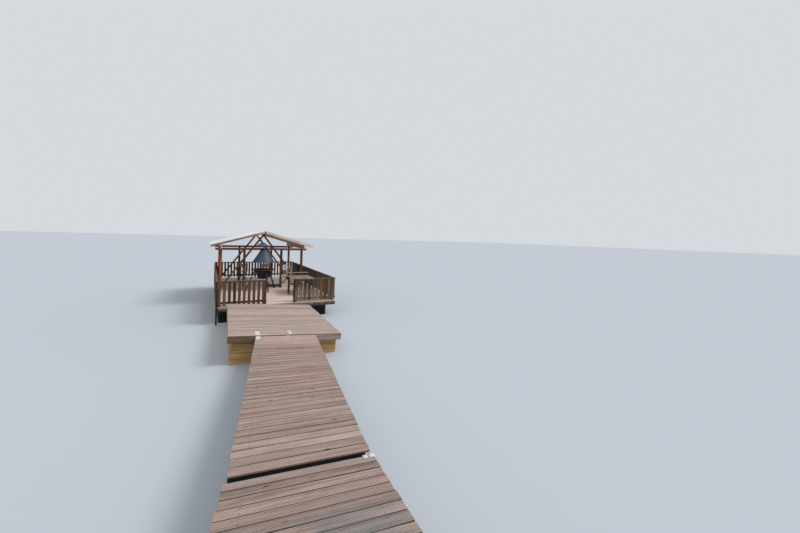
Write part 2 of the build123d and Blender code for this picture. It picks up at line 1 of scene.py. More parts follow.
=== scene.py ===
from math import atan2, cos, hypot, pi, radians, sin, tan

import bmesh
import bpy
import numpy as np
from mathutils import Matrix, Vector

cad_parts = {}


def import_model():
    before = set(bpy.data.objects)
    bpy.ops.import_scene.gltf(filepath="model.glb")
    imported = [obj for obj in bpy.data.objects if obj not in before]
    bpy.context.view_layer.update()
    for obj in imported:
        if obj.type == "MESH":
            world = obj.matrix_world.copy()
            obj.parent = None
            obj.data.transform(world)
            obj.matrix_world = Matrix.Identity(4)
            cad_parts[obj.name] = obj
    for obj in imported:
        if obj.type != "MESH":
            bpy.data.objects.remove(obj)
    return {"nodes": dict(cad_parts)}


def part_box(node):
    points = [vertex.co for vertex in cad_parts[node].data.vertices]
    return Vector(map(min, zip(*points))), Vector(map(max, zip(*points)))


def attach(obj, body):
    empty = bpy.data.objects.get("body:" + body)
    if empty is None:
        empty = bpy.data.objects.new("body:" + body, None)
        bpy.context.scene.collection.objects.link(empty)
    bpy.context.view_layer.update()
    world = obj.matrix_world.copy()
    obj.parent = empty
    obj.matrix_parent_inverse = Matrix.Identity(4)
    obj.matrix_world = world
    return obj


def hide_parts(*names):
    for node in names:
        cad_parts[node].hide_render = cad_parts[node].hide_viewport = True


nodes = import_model()["nodes"]
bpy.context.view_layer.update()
scene = bpy.context.scene
outer = np.multiply.outer
join = np.concatenate

# The gangway's near section: ridged pine decking, 28 mm thick, laid across two bearers and
# fixed with two countersunk screws at each bearer. The boards have greyed in the weather,
# pinkish where feet have rubbed them, and bluish grey in a patch at the low right side.
up = np.array([0.0, 0.0, 1.0])
walk_turn = radians(8.9)
walk_start = np.array([-0.118, -2.10, 0.0])
walk_out = np.array([-sin(walk_turn), -cos(walk_turn), 0.0])
walk_right = np.array([cos(walk_turn), -sin(walk_turn), 0.0])
bearer_off = 0.56
near_start = 5.49
near_len = 2.40
near_w = 1.514
near_trim = 0.012
near_top = 0.808
near_rise = 0.182
board_t = 0.028
board_pitch = 0.150
board_gap = (0.004, 0.010, 0.016)
board_bow = 0.002
groove_n = 6
groove_w = 0.010
groove_d = 0.004
screw_r = 0.0055
screw_off = (-0.042, 0.042)
end_chamfer = 0.002
blue_grey_patch_at = (1.25, 0.22)


def linear(code):
    """Linear colour from an sRGB hex code."""
    parts = np.array([int(code[i:i + 2], 16) for i in (1, 3, 5)]) / 255
    low = parts / 12.92
    high = ((parts + 0.055) / 1.055) ** 2.4
    return (*np.where(parts <= 0.04045, low, high), 1.0)


def add_node(mat, kind, inputs=None, **settings):
    """Adds a node to a material or world, with its settings and inputs."""
    made = mat.node_tree.nodes.new("ShaderNode" + kind)
    for key, value in settings.items():
        setattr(made, key, value)
    for key, value in (inputs or {}).items():
        if isinstance(value, bpy.types.NodeSocket):
            mat.node_tree.links.new(value, made.inputs[key])
        else:
            made.inputs[key].default_value = value
    return made


def new_material(name, rough, specular=0.5, metallic=0.0):
    """A material with one Principled shader and its uniform values."""
    mat = bpy.data.materials.new(name)
    mat.use_nodes = True
    values = {"Roughness": rough, "Specular IOR Level": specular, "Metallic": metallic}
    for key, value in values.items():
        shader_input(mat, key).default_value = value
    return mat


def shader_input(mat, name):
    """An input of the material's Principled shader."""
    return mat.node_tree.nodes["Principled BSDF"].inputs[name]


def feed(mat, name, source):
    """Links a socket to an input of the shader."""
    mat.node_tree.links.new(source, shader_input(mat, name))


def place_of(mat):
    """Object coordinates."""
    return add_node(mat, "TexCoord").outputs["Object"]


def calc(mat, how, *values):
    """One step of arithmetic on sockets and numbers."""
    return add_node(mat, "Math", dict(enumerate(values)), operation=how).outputs[0]


def ramp(mat, factor, *stops):
    """Colour ramp over the factor, with stops of place and hex colour."""
    made = add_node(mat, "ValToRGB", {"Fac": factor})
    slots = made.color_ramp.elements
    while len(slots) < len(stops):
        slots.new(0.5)
    for slot, (place, code) in zip(slots, stops):
        slot.position = place
        slot.color = linear(code)
    return made.outputs["Color"]


def blended(mat, amount, first, second, how="MIX"):
    """Mixes two colours by an amount, each colour a socket or a hex code."""
    first, second = (linear(c) if isinstance(c, str) else c for c in (first, second))
    inputs = {0: amount, 6: first, 7: second}
    return add_node(mat, "Mix", inputs, data_type="RGBA", blend_type=how).outputs[2]


def between(mat, value, low, high, out_low=0.0, out_high=1.0):
    """Maps a value from one range to another, clamped."""
    inputs = dict(enumerate((value, low, high, out_low, out_high)))
    return add_node(mat, "MapRange", inputs).outputs[0]


def scaled(mat, source, scale):
    """Coordinates scaled by one number, or apart along each axis."""
    inputs = {"Vector": source, "Scale": np.full(3, scale)}
    return add_node(mat, "Mapping", inputs).outputs[0]


def noise(mat, source, scale, detail=4.0, rough=0.55):
    """Noise on scaled coordinates."""
    place = scaled(mat, source, scale)
    inputs = {"Vector": place, "Scale": 1.0, "Detail": detail, "Roughness": rough}
    return add_node(mat, "TexNoise", inputs).outputs["Fac"]


def mottled(name, scale, low, high, rough, **values):
    """A material that clouds between two ramp stops, by noise of the given scale."""
    mat = new_material(name, rough, **values)
    feed(mat, "Base Color", ramp(mat, noise(mat, place_of(mat), scale), low, high))
    return mat


def bumped(mat, height, strength, depth):
    """Gives a material a fine relief."""
    inputs = {"Height": height, "Strength": strength, "Distance": depth}
    feed(mat, "Normal", add_node(mat, "Bump", inputs).outputs[0])


def repainted(mat, mask, code, how="MIX"):
    """Blends a material's base colour towards another by a mask."""
    present = shader_input(mat, "Base Color").links[0].from_socket
    feed(mat, "Base Color", blended(mat, mask, present, code, how))


def by_height(mat, low, high, below=0.0, above=1.0):
    """A mask over the height, with an edge ragged by 0.1 m."""
    place = place_of(mat)
    height = add_node(mat, "SeparateXYZ", {0: place}).outputs["Z"]
    level = calc(mat, "MULTIPLY_ADD", noise(mat, place, (9.0, 9.0, 4.0)), 0.2, height)
    return between(mat, level, low + 0.1, high + 0.1, below, above)


def by_walk(mat, low, high, below=0.0, above=1.0):
    """A mask over the distance out along the gangway."""
    inputs = {0: place_of(mat), 1: tuple(walk_out)}
    out = add_node(mat, "VectorMath", inputs, operation="DOT_PRODUCT").outputs["Value"]
    start = float(walk_start @ walk_out)
    return between(mat, out, start + low, start + high, below, above)


def timber(name, tones, grey_share=0.4, rough=0.8, grain="uv", lean=0.0, top=None,
           spread=(0.84, 1.14), other=None):
    """Weathered softwood in dark, mid, light and grey tones. The grain runs along u of the
    piece's own UV map, in metres, or along one axis of the object, leaned about Y. Streaks are
    40 mm wide, fibres 4 mm (real ones are finer), rings 12 mm apart and knots 15 to 30 mm, with
    blotches, greyed patches, and upward faces bleached to top. On own meshes, tone lightens each
    board within the spread, hue turns some to the other colour, and a third attribute darkens
    joints, grooves and chamfers with painted shade."""
    dark, mid, light, grey = tones.split()
    mat = new_material(name, rough, 0.25)
    if grain == "uv":
        along = add_node(mat, "UVMap", uv_map="grain").outputs[0]
    else:
        turn = {"x": (0, lean, 0), "y": (0, 0, pi / 2), "z": (0, pi / 2 + lean, 0)}[grain]
        inputs = {"Vector": place_of(mat), "Rotation": turn}
        along = add_node(mat, "Mapping", inputs).outputs[0]
    streaks = noise(mat, along, (1.1, 25.0, 25.0), 5.0, 0.6)
    fibres = noise(mat, along, (7.0, 250.0, 250.0), 3.0, 0.7)
    blotch = noise(mat, along, (0.8, 9.0, 9.0), 4.0, 0.65)
    weather = noise(mat, along, (0.55, 2.6, 2.6), 3.0, 0.6)
    inputs = {"Vector": scaled(mat, along, (0.05, 1.0, 1.0)), "Scale": 26.0,
              "Distortion": 7.0, "Detail": 2.0, "Detail Scale": 0.9}
    rings = add_node(mat, "TexWave", inputs, bands_direction="Y").outputs["Fac"]
    pattern = calc(mat, "ADD", streaks, fibres)
    pattern = calc(mat, "MULTIPLY_ADD", rings, 0.22, pattern)
    pattern = calc(mat, "MULTIPLY_ADD", blotch, 0.9, pattern)
    colour = ramp(mat, between(mat, pattern, 1.20, 1.92), (0.0, dark), (0.5, mid), (1.0, light))
    colour = blended(mat, between(mat, weather, 0.42, 0.66, 0.0, grey_share), colour, grey)
    inputs = {"Vector": scaled(mat, along, (2.4, 6.5, 6.5)), "Scale": 1.0}
    knot = add_node(mat, "TexVoronoi", inputs).outputs
    near = between(mat, knot["Distance"], 0.05, 0.11, 1.0, 0.0)
    rare = between(mat, knot["Color"], 0.40, 0.41)
    colour = blended(mat, calc(mat, "MULTIPLY", near, rare), colour, dark, "MULTIPLY")
    if top:
        normal = add_node(mat, "NewGeometry").outputs["Normal"]
        height = add_node(mat, "SeparateXYZ", {0: normal}).outputs["Z"]
        colour = blended(mat, between(mat, height, 0.6, 0.9, 0.0, 0.85), colour, top)
    if grain == "uv":
        tone, recess_shade, hue = (add_node(mat, "Attribute", attribute_name=key).outputs["Fac"]
                             for key in ("tone", "recess_shade", "hue"))
        if other:
            colour = blended(mat, between(mat, hue, 0.55, 0.75, 0.0, 0.4), colour, other)
        shade = between(mat, tone, 0.0, 1.0, *spread)
        shade = calc(mat, "MULTIPLY", shade, between(mat, recess_shade, 0.0, 1.0, 1.0, 0.15))
        inputs = {0: colour, "Scale": shade}
        colour = add_node(mat, "VectorMath", inputs, operation="SCALE").outputs[0]
    feed(mat, "Base Color", colour)
    bumped(mat, calc(mat, "MULTIPLY_ADD", fibres, 0.6, streaks), 0.6, 0.003)
    return mat


def stand(data):
    """Puts a mesh, light or camera into the scene under its own name."""
    made = bpy.data.objects.new(data.name, data)
    scene.collection.objects.link(made)
    return made


def put(mesh, mat, replaced):
    """Places a mesh as a piece, material and replaced nodes."""
    piece = stand(mesh)
    mesh.materials.append(mat)
    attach(piece, "root")
    if replaced:
        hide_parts(*replaced.split())


def unit(vectors):
    """Vectors of length 1 in the same directions."""
    return vectors / np.linalg.norm(vectors, axis=-1, keepdims=True)


def points(x, y, z):
    """Points from their coordinates, each a number or an array."""
    return np.stack(np.broadcast_arrays(x, y, z), axis=-1)


def sawn(width, thick, edge=0.003):
    """Chamfered outline of a sawn section, as (across, up) points; one for each width given."""
    side = np.repeat([1, -1], 4)
    cut = np.array([1, 0, 0, 1] * 2) * edge
    x = side * (np.asarray(width)[..., None] / 2 - cut)
    y = np.roll(side, 2) * (thick / 2 - edge + cut)
    return np.stack(np.broadcast_arrays(x, y), axis=-1)


def middles(lo, hi, count):
    """Middles of the equal parts of a range."""
    return lo + (np.arange(count) + 0.5) * (hi - lo) / count


def ridged_outline(width):
    """Outline of a deck board whose top has V-shaped grooves at an even pitch."""
    plain = sawn(width, board_t, 0.006)
    field = width - 0.020
    centres = middles(field / 2, -field / 2, groove_n)
    half = groove_w / 2
    cut = np.array([(half, 0.0), (half / 3, -groove_d), (-half / 3, -groove_d), (-half, 0.0)])
    grooves = outer(centres, (1.0, 0.0))[:, None] + cut + (0.0, board_t / 2)
    return join([plain[:4], grooves.reshape(-1, 2), plain[4:]])


# Painted shade, how dark each of its edges lies: 1 in a joint, less in a groove
ridged_recess_shade = np.array([1, 1, 0.85, 0] + [0.5, 0.75, 0.5, 0] * groove_n + [0.85, 1, 1, 1])


def timbers(name, slot, mat, replaced, starts, ends, across, outline, seed, bow=0.0, stations=3,
            recess_shade=0.0):
    """A piece of straight members. Member i carries the outline from starts[i] to ends[i], its
    first axis along across[i], its second along the member x across[i]. Stations split the
    length, 2 mm at either end taper to 0.97, and bow lifts the middle by a parabola. Each member
    has its own place on the grain map, tone and hue."""
    rng = np.random.default_rng(seed)
    starts, ends, across = np.atleast_2d(starts, ends, across)
    n = len(starts)
    across = np.broadcast_to(across, (n, 3))
    outline = np.broadcast_to(outline, (n, *np.shape(outline)[-2:]))
    p = outline.shape[1]
    length = np.linalg.norm(ends - starts, axis=1)[:, None]
    axis = unit(ends - starts)
    rise = unit(np.cross(axis, across))
    tip = np.minimum(end_chamfer / length, 0.2)
    inner = tip + (1 - 2 * tip) * np.linspace(0, 1, stations)
    t = np.hstack([np.zeros((n, 1)), inner, np.ones((n, 1))])
    m = t.shape[1]
    size = np.ones(m)
    size[[0, -1]] = 0.97
    lift = bow * rng.uniform(-1, 1, (n, 1)) * 4 * t * (1 - t)
    centre = starts[:, None] + axis[:, None] * (t * length)[..., None]
    centre = centre + rise[:, None] * lift[..., None]
    section = outline[:, None] * size[:, None, None]
    side = across[:, None, None] * section[..., :1]
    tall = rise[:, None, None] * section[..., 1:]
    verts = (centre[:, :, None] + side + tall).reshape(-1, 3)
    i, j, k = np.meshgrid(np.arange(n), np.arange(m - 1), np.arange(p), indexing="ij")
    k2 = (k + 1) % p
    base = (i * m + j) * p
    quads = np.stack([base + k, base + k2, base + p + k2, base + p + k], axis=-1).reshape(-1, 4)
    first = np.arange(n)[:, None] * m * p + np.arange(p)
    last = first + (m - 1) * p
    mesh = bpy.data.meshes.new(name)
    mesh.from_pydata(verts, [], quads.tolist() + first[:, ::-1].tolist() + last.tolist())
    start = rng.uniform(0, 40, (2, n))[..., None]
    ring = np.linalg.norm(np.roll(outline, -1, axis=1) - outline, axis=2)
    v = np.hstack([np.zeros((n, 1)), ring.cumsum(axis=1)]) + start[1]
    u = t * length + start[0]
    u = np.stack([u[i, j], u[i, j], u[i, j + 1], u[i, j + 1]], axis=-1)
    v = np.stack([v[i, k], v[i, k + 1], v[i, k + 1], v[i, k]], axis=-1)
    walls = np.stack([u, v], axis=-1)
    cap = outline + start.T[0][:, None] + 3.0
    uv = join([a.reshape(-1, 2) for a in (walls, cap[:, ::-1], cap)])
    mesh.uv_layers.new(name="grain").data.foreach_set("uv", uv.ravel())
    tone = rng.uniform(0, 1, n)
    hue = rng.uniform(0, 1, n)
    # Painted shade for each edge of the outline, in joints, grooves and chamfers
    shade_per_face = np.repeat(np.broadcast_to(recess_shade, (n, p)), m - 1, axis=0).ravel()
    sides = (m - 1) * p
    for key, walls, caps in (
        ("tone", np.repeat(tone, sides), tone * 0.6), ("hue", np.repeat(hue, sides), hue),
        ("recess_shade", shade_per_face, np.zeros(n)),
    ):
        layer = mesh.attributes.new(key, "FLOAT", "FACE")
        layer.data.foreach_set("value", join([walls, caps, caps]))
    mesh.update()
    put(mesh, mat, replaced)
    return mesh


def on_walk(along, sideways, height):
    """Points on the gangway, by distance from the pontoon, offset to the right, and height."""
    flat = walk_start + outer(along, walk_out) + outer(sideways, walk_right)
    return flat + outer(height, up)


def near_surface(along, sideways):
    """Points on top of the near section, which rises towards the bank."""
    return on_walk(along, sideways, near_top + near_rise * (along - near_start))


def screws(name, places, normal, radius=screw_r, proud=0.001, mat=None):
    """Screw or bolt heads: six-sided discs with a dimple, of rings 1, 0.8 and 0.25 times the
    head's radius, at -0.5, 1 and 0.2 times its height above the wood."""
    places = np.reshape(places, (-1, 3))
    normal = unit(normal)
    side = unit(np.cross((1, 0, 0) if abs(normal[0]) < 0.9 else (0, 1, 0), normal))
    angle = np.arange(6) * pi / 3
    rim = outer(np.cos(angle), side) + outer(np.sin(angle), np.cross(normal, side))
    rings = ((1.0, -0.5), (0.8, 1.0), (0.25, 0.2))
    head = join([rim * radius * r + normal * proud * h for r, h in rings])
    verts = (places[:, None] + head).reshape(-1, 3)
    k = np.arange(6)
    k2 = (k + 1) % 6
    quads = [np.stack([k + r, k2 + r, k2 + r + 6, k + r + 6], axis=-1) for r in (0, 6)]
    start = np.arange(len(places))[:, None] * 18
    walls = (join(quads) + start[:, None]).reshape(-1, 4).tolist()
    tops = (start + np.arange(12, 18)).tolist()
    bottoms = (start + np.arange(5, -1, -1)).tolist()
    mesh = bpy.data.meshes.new(name)
    mesh.from_pydata(verts, [], walls + tops + bottoms)
    put(mesh, mat or screw_zinc, "")


def board_outlines(count, seed, share=(0.3, 0.4, 0.3)):
    """Outlines of a row of deck boards, which differ by the joint beside them."""
    gaps = np.random.default_rng(seed).choice(board_gap, count, p=share)
    return np.stack([ridged_outline(board_pitch - g) for g in gaps])


# Zinc-plated screws, dulled to a mid grey with brown rust
screw_zinc = mottled(
    "dull_zinc_screws", 40.0, (0.35, "#3B2D24"), (0.6, "#6E6A66"), 0.55, metallic=0.8)

rng = np.random.default_rng(11)
near_n = int(near_len / board_pitch)
along = middles(near_start, near_start + near_len, near_n)
reach = near_w / 2 - rng.uniform(0.0, near_trim, (2, near_n))
lefts, rights = (near_surface(along, s) - up * board_t / 2 for s in (-reach[0], reach[1]))

near_wood = timber(
    "weathered_ridged_pine_decking", "#745F54 #AF968A #D6BFB2 #A39A95", 0.5, other="#A98D82")
place = place_of(near_wood)
blue_grey_patch_centre = near_surface(near_start + blue_grey_patch_at[0], blue_grey_patch_at[1])
away = add_node(near_wood, "VectorMath", {0: place, 1: tuple(blue_grey_patch_centre)},
                operation="DISTANCE").outputs["Value"]
edge = calc(near_wood, "MULTIPLY_ADD", noise(near_wood, place, 5.0), -0.7, away)
repainted(near_wood, between(near_wood, edge, -0.10, 0.22, 0.5, 0.0), "#74777B")
timbers(
    "near_deck_boards", "weathered_decking", near_wood, "near_walkway_deck", lefts, rights,
    unit(up * -near_rise - walk_out), board_outlines(near_n, 12), 21, board_bow, 5, ridged_recess_shade)
spots = [near_surface(along + d, s * bearer_off) for s in (-1, 1) for d in screw_off]
screws("near_deck_screws", spots, up)

# The gangway's far section: the same decking, lighter by the pontoon. It twists from level at
# the bank to the pontoon's list, and its boards fan, from square at the bank to the slant of the
# pontoon's edge.
pontoon_list = radians(4.2)
pontoon_turn = radians(-1.9)
pontoon_edge = 2.055
far_len = 5.41
far_w = 1.47
far_trim = 0.010
far_end_top = 0.620
far_bank_top = 0.818
far_rise = far_bank_top - far_end_top
far_n = 37
skew = walk_turn + pontoon_turn
edge_at = walk_start[1] * cos(pontoon_turn) - walk_start[0] * sin(pontoon_turn) + pontoon_edge
edge_at = edge_at / cos(skew)


def far_surface(along, sideways):
    """Points on top of the far section: the height is 0.62 + 0.198 t - s tan(4.2 deg) (1 - t),
    with t the share of the way to the bank and s the offset to the right."""
    share = along / far_len
    height = far_end_top + far_rise * share - sideways * tan(pontoon_list) * (1 - share)
    return on_walk(along, sideways, height)


share = middles(0.0, 1.0, far_n)
first_at = edge_at + np.array([[far_w / 2], [-far_w / 2]]) * tan(skew)
left_at, right_at = first_at + share * (far_len - first_at)
reach = far_w / 2 - rng.uniform(0.0, far_trim, (2, far_n))
lefts = far_surface(left_at, -reach[0]) - up * board_t / 2
rights = far_surface(right_at, reach[1]) - up * board_t / 2
lie = unit(np.cross(up - far_rise / far_len * walk_out, rights - lefts))
far_wood = timber(
    "weathered_ridged_pine_gangway", "#7C6357 #B89D90 #DCC4B7 #ADA29B", 0.45, other="#B8998D")
repainted(far_wood, by_walk(far_wood, 0.6, 1.0, 0.2, 0.0), "#E8C8B4")

# The last board's edge is open at the gap, so its painted shade is full only at its foot
recess_shade = np.tile(ridged_recess_shade, (far_n, 1))
recess_shade[-1, -4:] = (0.4, 0.6, 0.8, 1.0)
timbers("far_deck_boards", "weathered_decking", far_wood, "far_walkway_deck", lefts, rights, lie,
        board_outlines(far_n, 13, (0.5, 0.2, 0.3)), 22, board_bow, 5, recess_shade)
spots = []
for side in (-1, 1):
    at = (left_at + right_at) / 2 + side * bearer_off / far_w * (right_at - left_at)
    spots += [far_surface(at + d, side * bearer_off) for d in screw_off]
screws("far_deck_screws", spots, up)

# Header under the far section's last board: sawn planks between and beside the bearers, which
# shut the view through the gap; coloured nearly black, a painted shade for the dark gap
bearer_half = 0.025
header_t = 0.030
header_h = 0.100
header_half = 0.725
header_back = 0.008
clear = 0.001
header_z = far_bank_top - board_t - clear - header_h / 2
inside = bearer_off - bearer_half - clear
outside = bearer_off + bearer_half + clear
spans = np.array([(-header_half, -outside), (-inside, inside), (outside, header_half)])
starts, ends = (on_walk(far_len - header_t / 2 - header_back, s, header_z) for s in spans.T)
gap_shade_header_wood = timber("painted_shade_header", "#0F0C0A #1B1613 #2A231E #221E1B", 0.3)
timbers("far_deck_header", "frame_timber", gap_shade_header_wood, "", starts, ends, up,
        sawn(header_h, header_t), 28)


def paint(mat, *names):
    """Gives its material to CAD nodes that stay in sight."""
    for name in names:
        nodes[name].data.materials[0] = mat


# Timber under the gangway, of damp grey-brown spruce: sawn bearers, trestle caps, round piles,
# the ledger on the pontoon, and the joists of both frames
spruce = ("#3C3129 #6A5A4C #8C7B6A #6F6A64", 0.5)
paint(timber("damp_sawn_spruce", *spruce, grain="y"), "near_walkway_bearers", "deck_joists")
paint(timber("damp_sawn_spruce_across", *spruce, grain="x"), "trestle_caps", "pontoon_ledger")
pile_wood = timber("peeled_spruce_piles", "#33291F #5C4B3C #7B6A58 #5F5A54", 0.5, grain="z")
paint(pile_wood, "trestle_piles")

# The far bearers' ends in the gap are painted nearly black, a painted shade for the dark gap
gap_shade_bearer_wood = timber("gap_shade_bearer_ends", *spruce, grain="y")
repainted(gap_shade_bearer_wood, by_walk(gap_shade_bearer_wood, far_len - 0.09, far_len - 0.03), "#15110E")
paint(gap_shade_bearer_wood, "far_walkway_bearers")

# Pale plates at the gangway's joints: hot-dip galvanised steel with a whitish bloom and faint
# spangle, held by bolts with flat round heads. One lies on the near section's right corner, two
# on the far section's end by the pontoon, and an upright flange hangs in the gap.
galvanised = mottled(
    "hot_dip_galvanised_steel", 14.0, (0.3, "#C2C6C8"), (0.7, "#EAEBEA"), 0.5, metallic=0.15)
inputs = {"Vector": place_of(galvanised), "Scale": 90.0}
spangle = add_node(galvanised, "TexVoronoi", inputs).outputs["Color"]
repainted(galvanised, 0.10, spangle, "OVERLAY")
plate_t = 0.006
steel_edge = 0.001
plate_at = np.array([0.692, -0.680, 0.030])
plate_len = np.array([0.075, 0.300, 0.110])
plate_w = (0.128, 0.100, 0.060)
plate_over = 0.014
plate_back = 0.012
bolt_r = 0.011
bolt_h = 0.004
flange_h = 0.052
flange_at = on_walk(far_len - 0.004, np.array([0.680, 0.733]), far_bank_top - board_t - 0.028)
plate_from = edge_at - plate_at * tan(skew) + plate_back
plate_from[0] = near_start - plate_over
half_t = up * (plate_t / 2 + clear)
starts, ends = (far_surface(d, plate_at) + half_t for d in (plate_from, plate_from + plate_len))
corner = near_surface(plate_from[0] + np.array([0.0, plate_len[0]]), plate_at[0])
starts[0], ends[0] = corner + half_t
timbers("plates_on_gangway", "pale_plate", galvanised, "joint_plates", starts, ends, walk_right,
        sawn(plate_w, plate_t, steel_edge), 29)
bolt_share = np.array([[0.25], [0.8]])
bolts = starts[:, None] + (ends - starts)[:, None] * bolt_share + up * plate_t / 2
screws("plate_bolts", bolts, up, bolt_r, bolt_h)
timbers("gap_flange", "pale_plate", galvanised, "", *flange_at, up,
        sawn(flange_h, plate_t, steel_edge), 31)

# The pontoon's deck: the same decking laid across, smoother and tanner, in one length from side
# to side. Everything on the pontoon is placed in its listing frame, with the deck's top at w 0.
pontoon_mid = 0.638
pontoon_w = 2.82
pontoon_l = 4.10
pontoon_trim = 0.008
screw_in = 0.12
level_u = np.array([cos(pontoon_turn), sin(pontoon_turn), 0.0])
axis_u = level_u * cos(pontoon_list) - up * sin(pontoon_list)
axis_w = level_u * sin(pontoon_list) + up * cos(pontoon_list)
axis_v = np.cross(axis_w, axis_u)


def on_pontoon(places):
    """World points from (u, v, w) in the pontoon's listing frame."""
    return up * pontoon_mid + places @ np.stack([axis_u, axis_v, axis_w])


def deck_rows(lo, hi, pitch):
    """Start and end points of boards laid along X over a rectangle, at mid-thickness."""
    count = round((hi[1] - lo[1]) / pitch)
    y = middles(lo[1], hi[1], count)
    return (points(x, y, (lo[2] + hi[2]) / 2) for x in (lo[0], hi[0]))


def screw_grid(rows, lo, hi, count, top):
    """Pairs of places where each board crosses each joist."""
    columns = np.linspace(lo[0] + screw_in, hi[0] - screw_in, count)
    x, y, d = np.meshgrid(columns, rows, screw_off, indexing="ij")
    return points(x, y + d, top).reshape(-1, 3)


pontoon_lo = np.array([-pontoon_w / 2, -pontoon_l / 2, -board_t])
pontoon_hi = pontoon_lo * [-1, -1, 0]
a, b = deck_rows(pontoon_lo, pontoon_hi, board_pitch)
rows = a[:, 1]
a[:, 0] += rng.uniform(0, pontoon_trim, len(a))
b[:, 0] -= rng.uniform(0, pontoon_trim, len(b))
pontoon_wood = timber(
    "worn_ridged_pine_decking", "#937C70 #C3AD9F #DDC9BD #BCAFA8", spread=(0.86, 1.08))
# Its grooves and joints take 0.7 of the painted shade
timbers(
    "pontoon_boards", "weathered_decking", pontoon_wood, "pontoon_deck", on_pontoon(a),
    on_pontoon(b), axis_v, board_outlines(len(a), 14), 23, board_bow / 2, 5, ridged_recess_shade * 0.7)
grid = screw_grid(rows, pontoon_lo, pontoon_hi, 5, 0.0)
screws("pontoon_screws", on_pontoon(grid), axis_w)


def corners(node):
    """The low and the high corner of a CAD node's box."""
    return [np.array(c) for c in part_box(node)]


# The platform's floor: plain planed pine boards, laid across the joists in staggered lengths
# with two screws at each, and worn to tan-pink
floor_pitch = 0.125
floor_board_w = 0.120
joint_half = 0.001
lo, hi = corners("platform_deck")
floor_pine = timber("worn_tan_pine_floor", "#A88C79 #D6BEAE #EBDACD #CDC0B6", 0.35, 0.7)
a, b = deck_rows(lo, hi, floor_pitch)
joint_x = lo[0] + (hi[0] - lo[0]) * np.where(np.arange(len(a)) % 2, 0.34, 0.67)
starts = join([a, points(joint_x + joint_half, a[:, 1], a[:, 2])])
ends = join([points(joint_x - joint_half, b[:, 1], b[:, 2]), b])
timbers("platform_boards", "platform_boards", floor_pine, "platform_deck", starts, ends, (0, 1, 0),
        sawn(floor_board_w, board_t), 24, board_bow / 2)
screws("platform_screws", screw_grid(a[:, 1], lo, hi, 8, hi[2]), up)

# Fascia boards round both decks: sawn spruce 45 mm thick, butted at the corners and bolted to
# the joists; the end boards run full width. The pontoon's left end is browner, in two lengths,
# and the platform's is darker towards its foot.
fascia_wood = timber(
    "greyed_sawn_spruce_fascia", "#5E4F46 #9B877C #C2AFA4 #A89B94", 0.5, spread=(0.85, 1.1))
fascia_brown = timber("brown_sawn_spruce_fascia", "#3A2A1B #6D5239 #967656 #756451")
dark_footed_fascia = timber(
    "dark_footed_sawn_spruce_fascia", "#54463D #8F7B6F #B8A497 #9C8F87", 0.5, spread=(0.85, 1.1))
repainted(dark_footed_fascia, by_height(dark_footed_fascia, 0.47, 0.56, 0.85, 0.0), "#2A2420")
fascia_t = 0.045
fascia_h = 0.150
fascia_bolt_r = 0.012


def frame_boards(lo, hi, thick, top, bottom, inset=0.0):
    """Ends of upright boards round a rectangle: two of full width, and two sides between."""
    x0, x1 = lo[0] + inset, hi[0] - inset
    y0, y1 = lo[1] + inset, hi[1] - inset
    z = (top + bottom) / 2
    h = thick / 2
    ends = [((x0, y, z), (x1, y, z)) for y in (y0 + h, y1 - h)]
    sides = [((x, y0 + thick, z), (x, y1 - thick, z)) for x in (x0 + h, x1 - h)]
    return np.swapaxes(ends + sides, 0, 1)


boards = frame_boards(pontoon_lo, pontoon_hi, fascia_t, -board_t, -board_t - fascia_h)
starts, ends = on_pontoon(boards)
butt = starts[0] * 0.55 + ends[0] * 0.45
section = sawn(fascia_h, fascia_t, 0.004)
timbers("fascia_left_end", "frame_timber", fascia_brown, "fascia_ends", starts[0], butt, axis_w,
        section, 30)
starts[0] = butt
timbers("pontoon_fascia", "frame_timber", fascia_wood, "fascia_ends fascia_sides", starts, ends,
        axis_w, section, 25, 0.0, 4)
boards = frame_boards(lo, hi, fascia_t, lo[2], lo[2] - fascia_h)
timbers("platform_fascia", "frame_timber", dark_footed_fascia, "fascia_ends fascia_sides", *boards, up,
        section, 35, 0.0, 4)
spots = [(u, -pontoon_l / 2, w) for u in (-1.25, -0.95, 0.95, 1.25) for w in (-0.07, -0.14)]
screws("fascia_bolts", on_pontoon(spots), -axis_v, fascia_bolt_r, bolt_h)

# Hinge straps of the gangway on the pontoon's deck, of the same galvanised plate, 0.37 m long at
# the gangway's left corner and at its middle
strap_at = (-0.735, 0.055)
strap_w = (0.110, 0.075)
strap_len = 0.370
strap_bolts = np.array([[0.05], [0.18], [0.31]])
foot = (-pontoon_l / 2 + plate_back, plate_t / 2 + clear)
starts = on_pontoon([(u, *foot) for u in strap_at])
ends = starts + axis_v * strap_len
timbers("plates_on_pontoon", "pale_plate", galvanised, "joint_plates", starts, ends, axis_u,
        sawn(strap_w, plate_t, steel_edge), 79)
bolts = starts[:, None] + axis_v * strap_bolts + axis_w * plate_t / 2
screws("strap_bolts", bolts, axis_w, bolt_r, bolt_h)

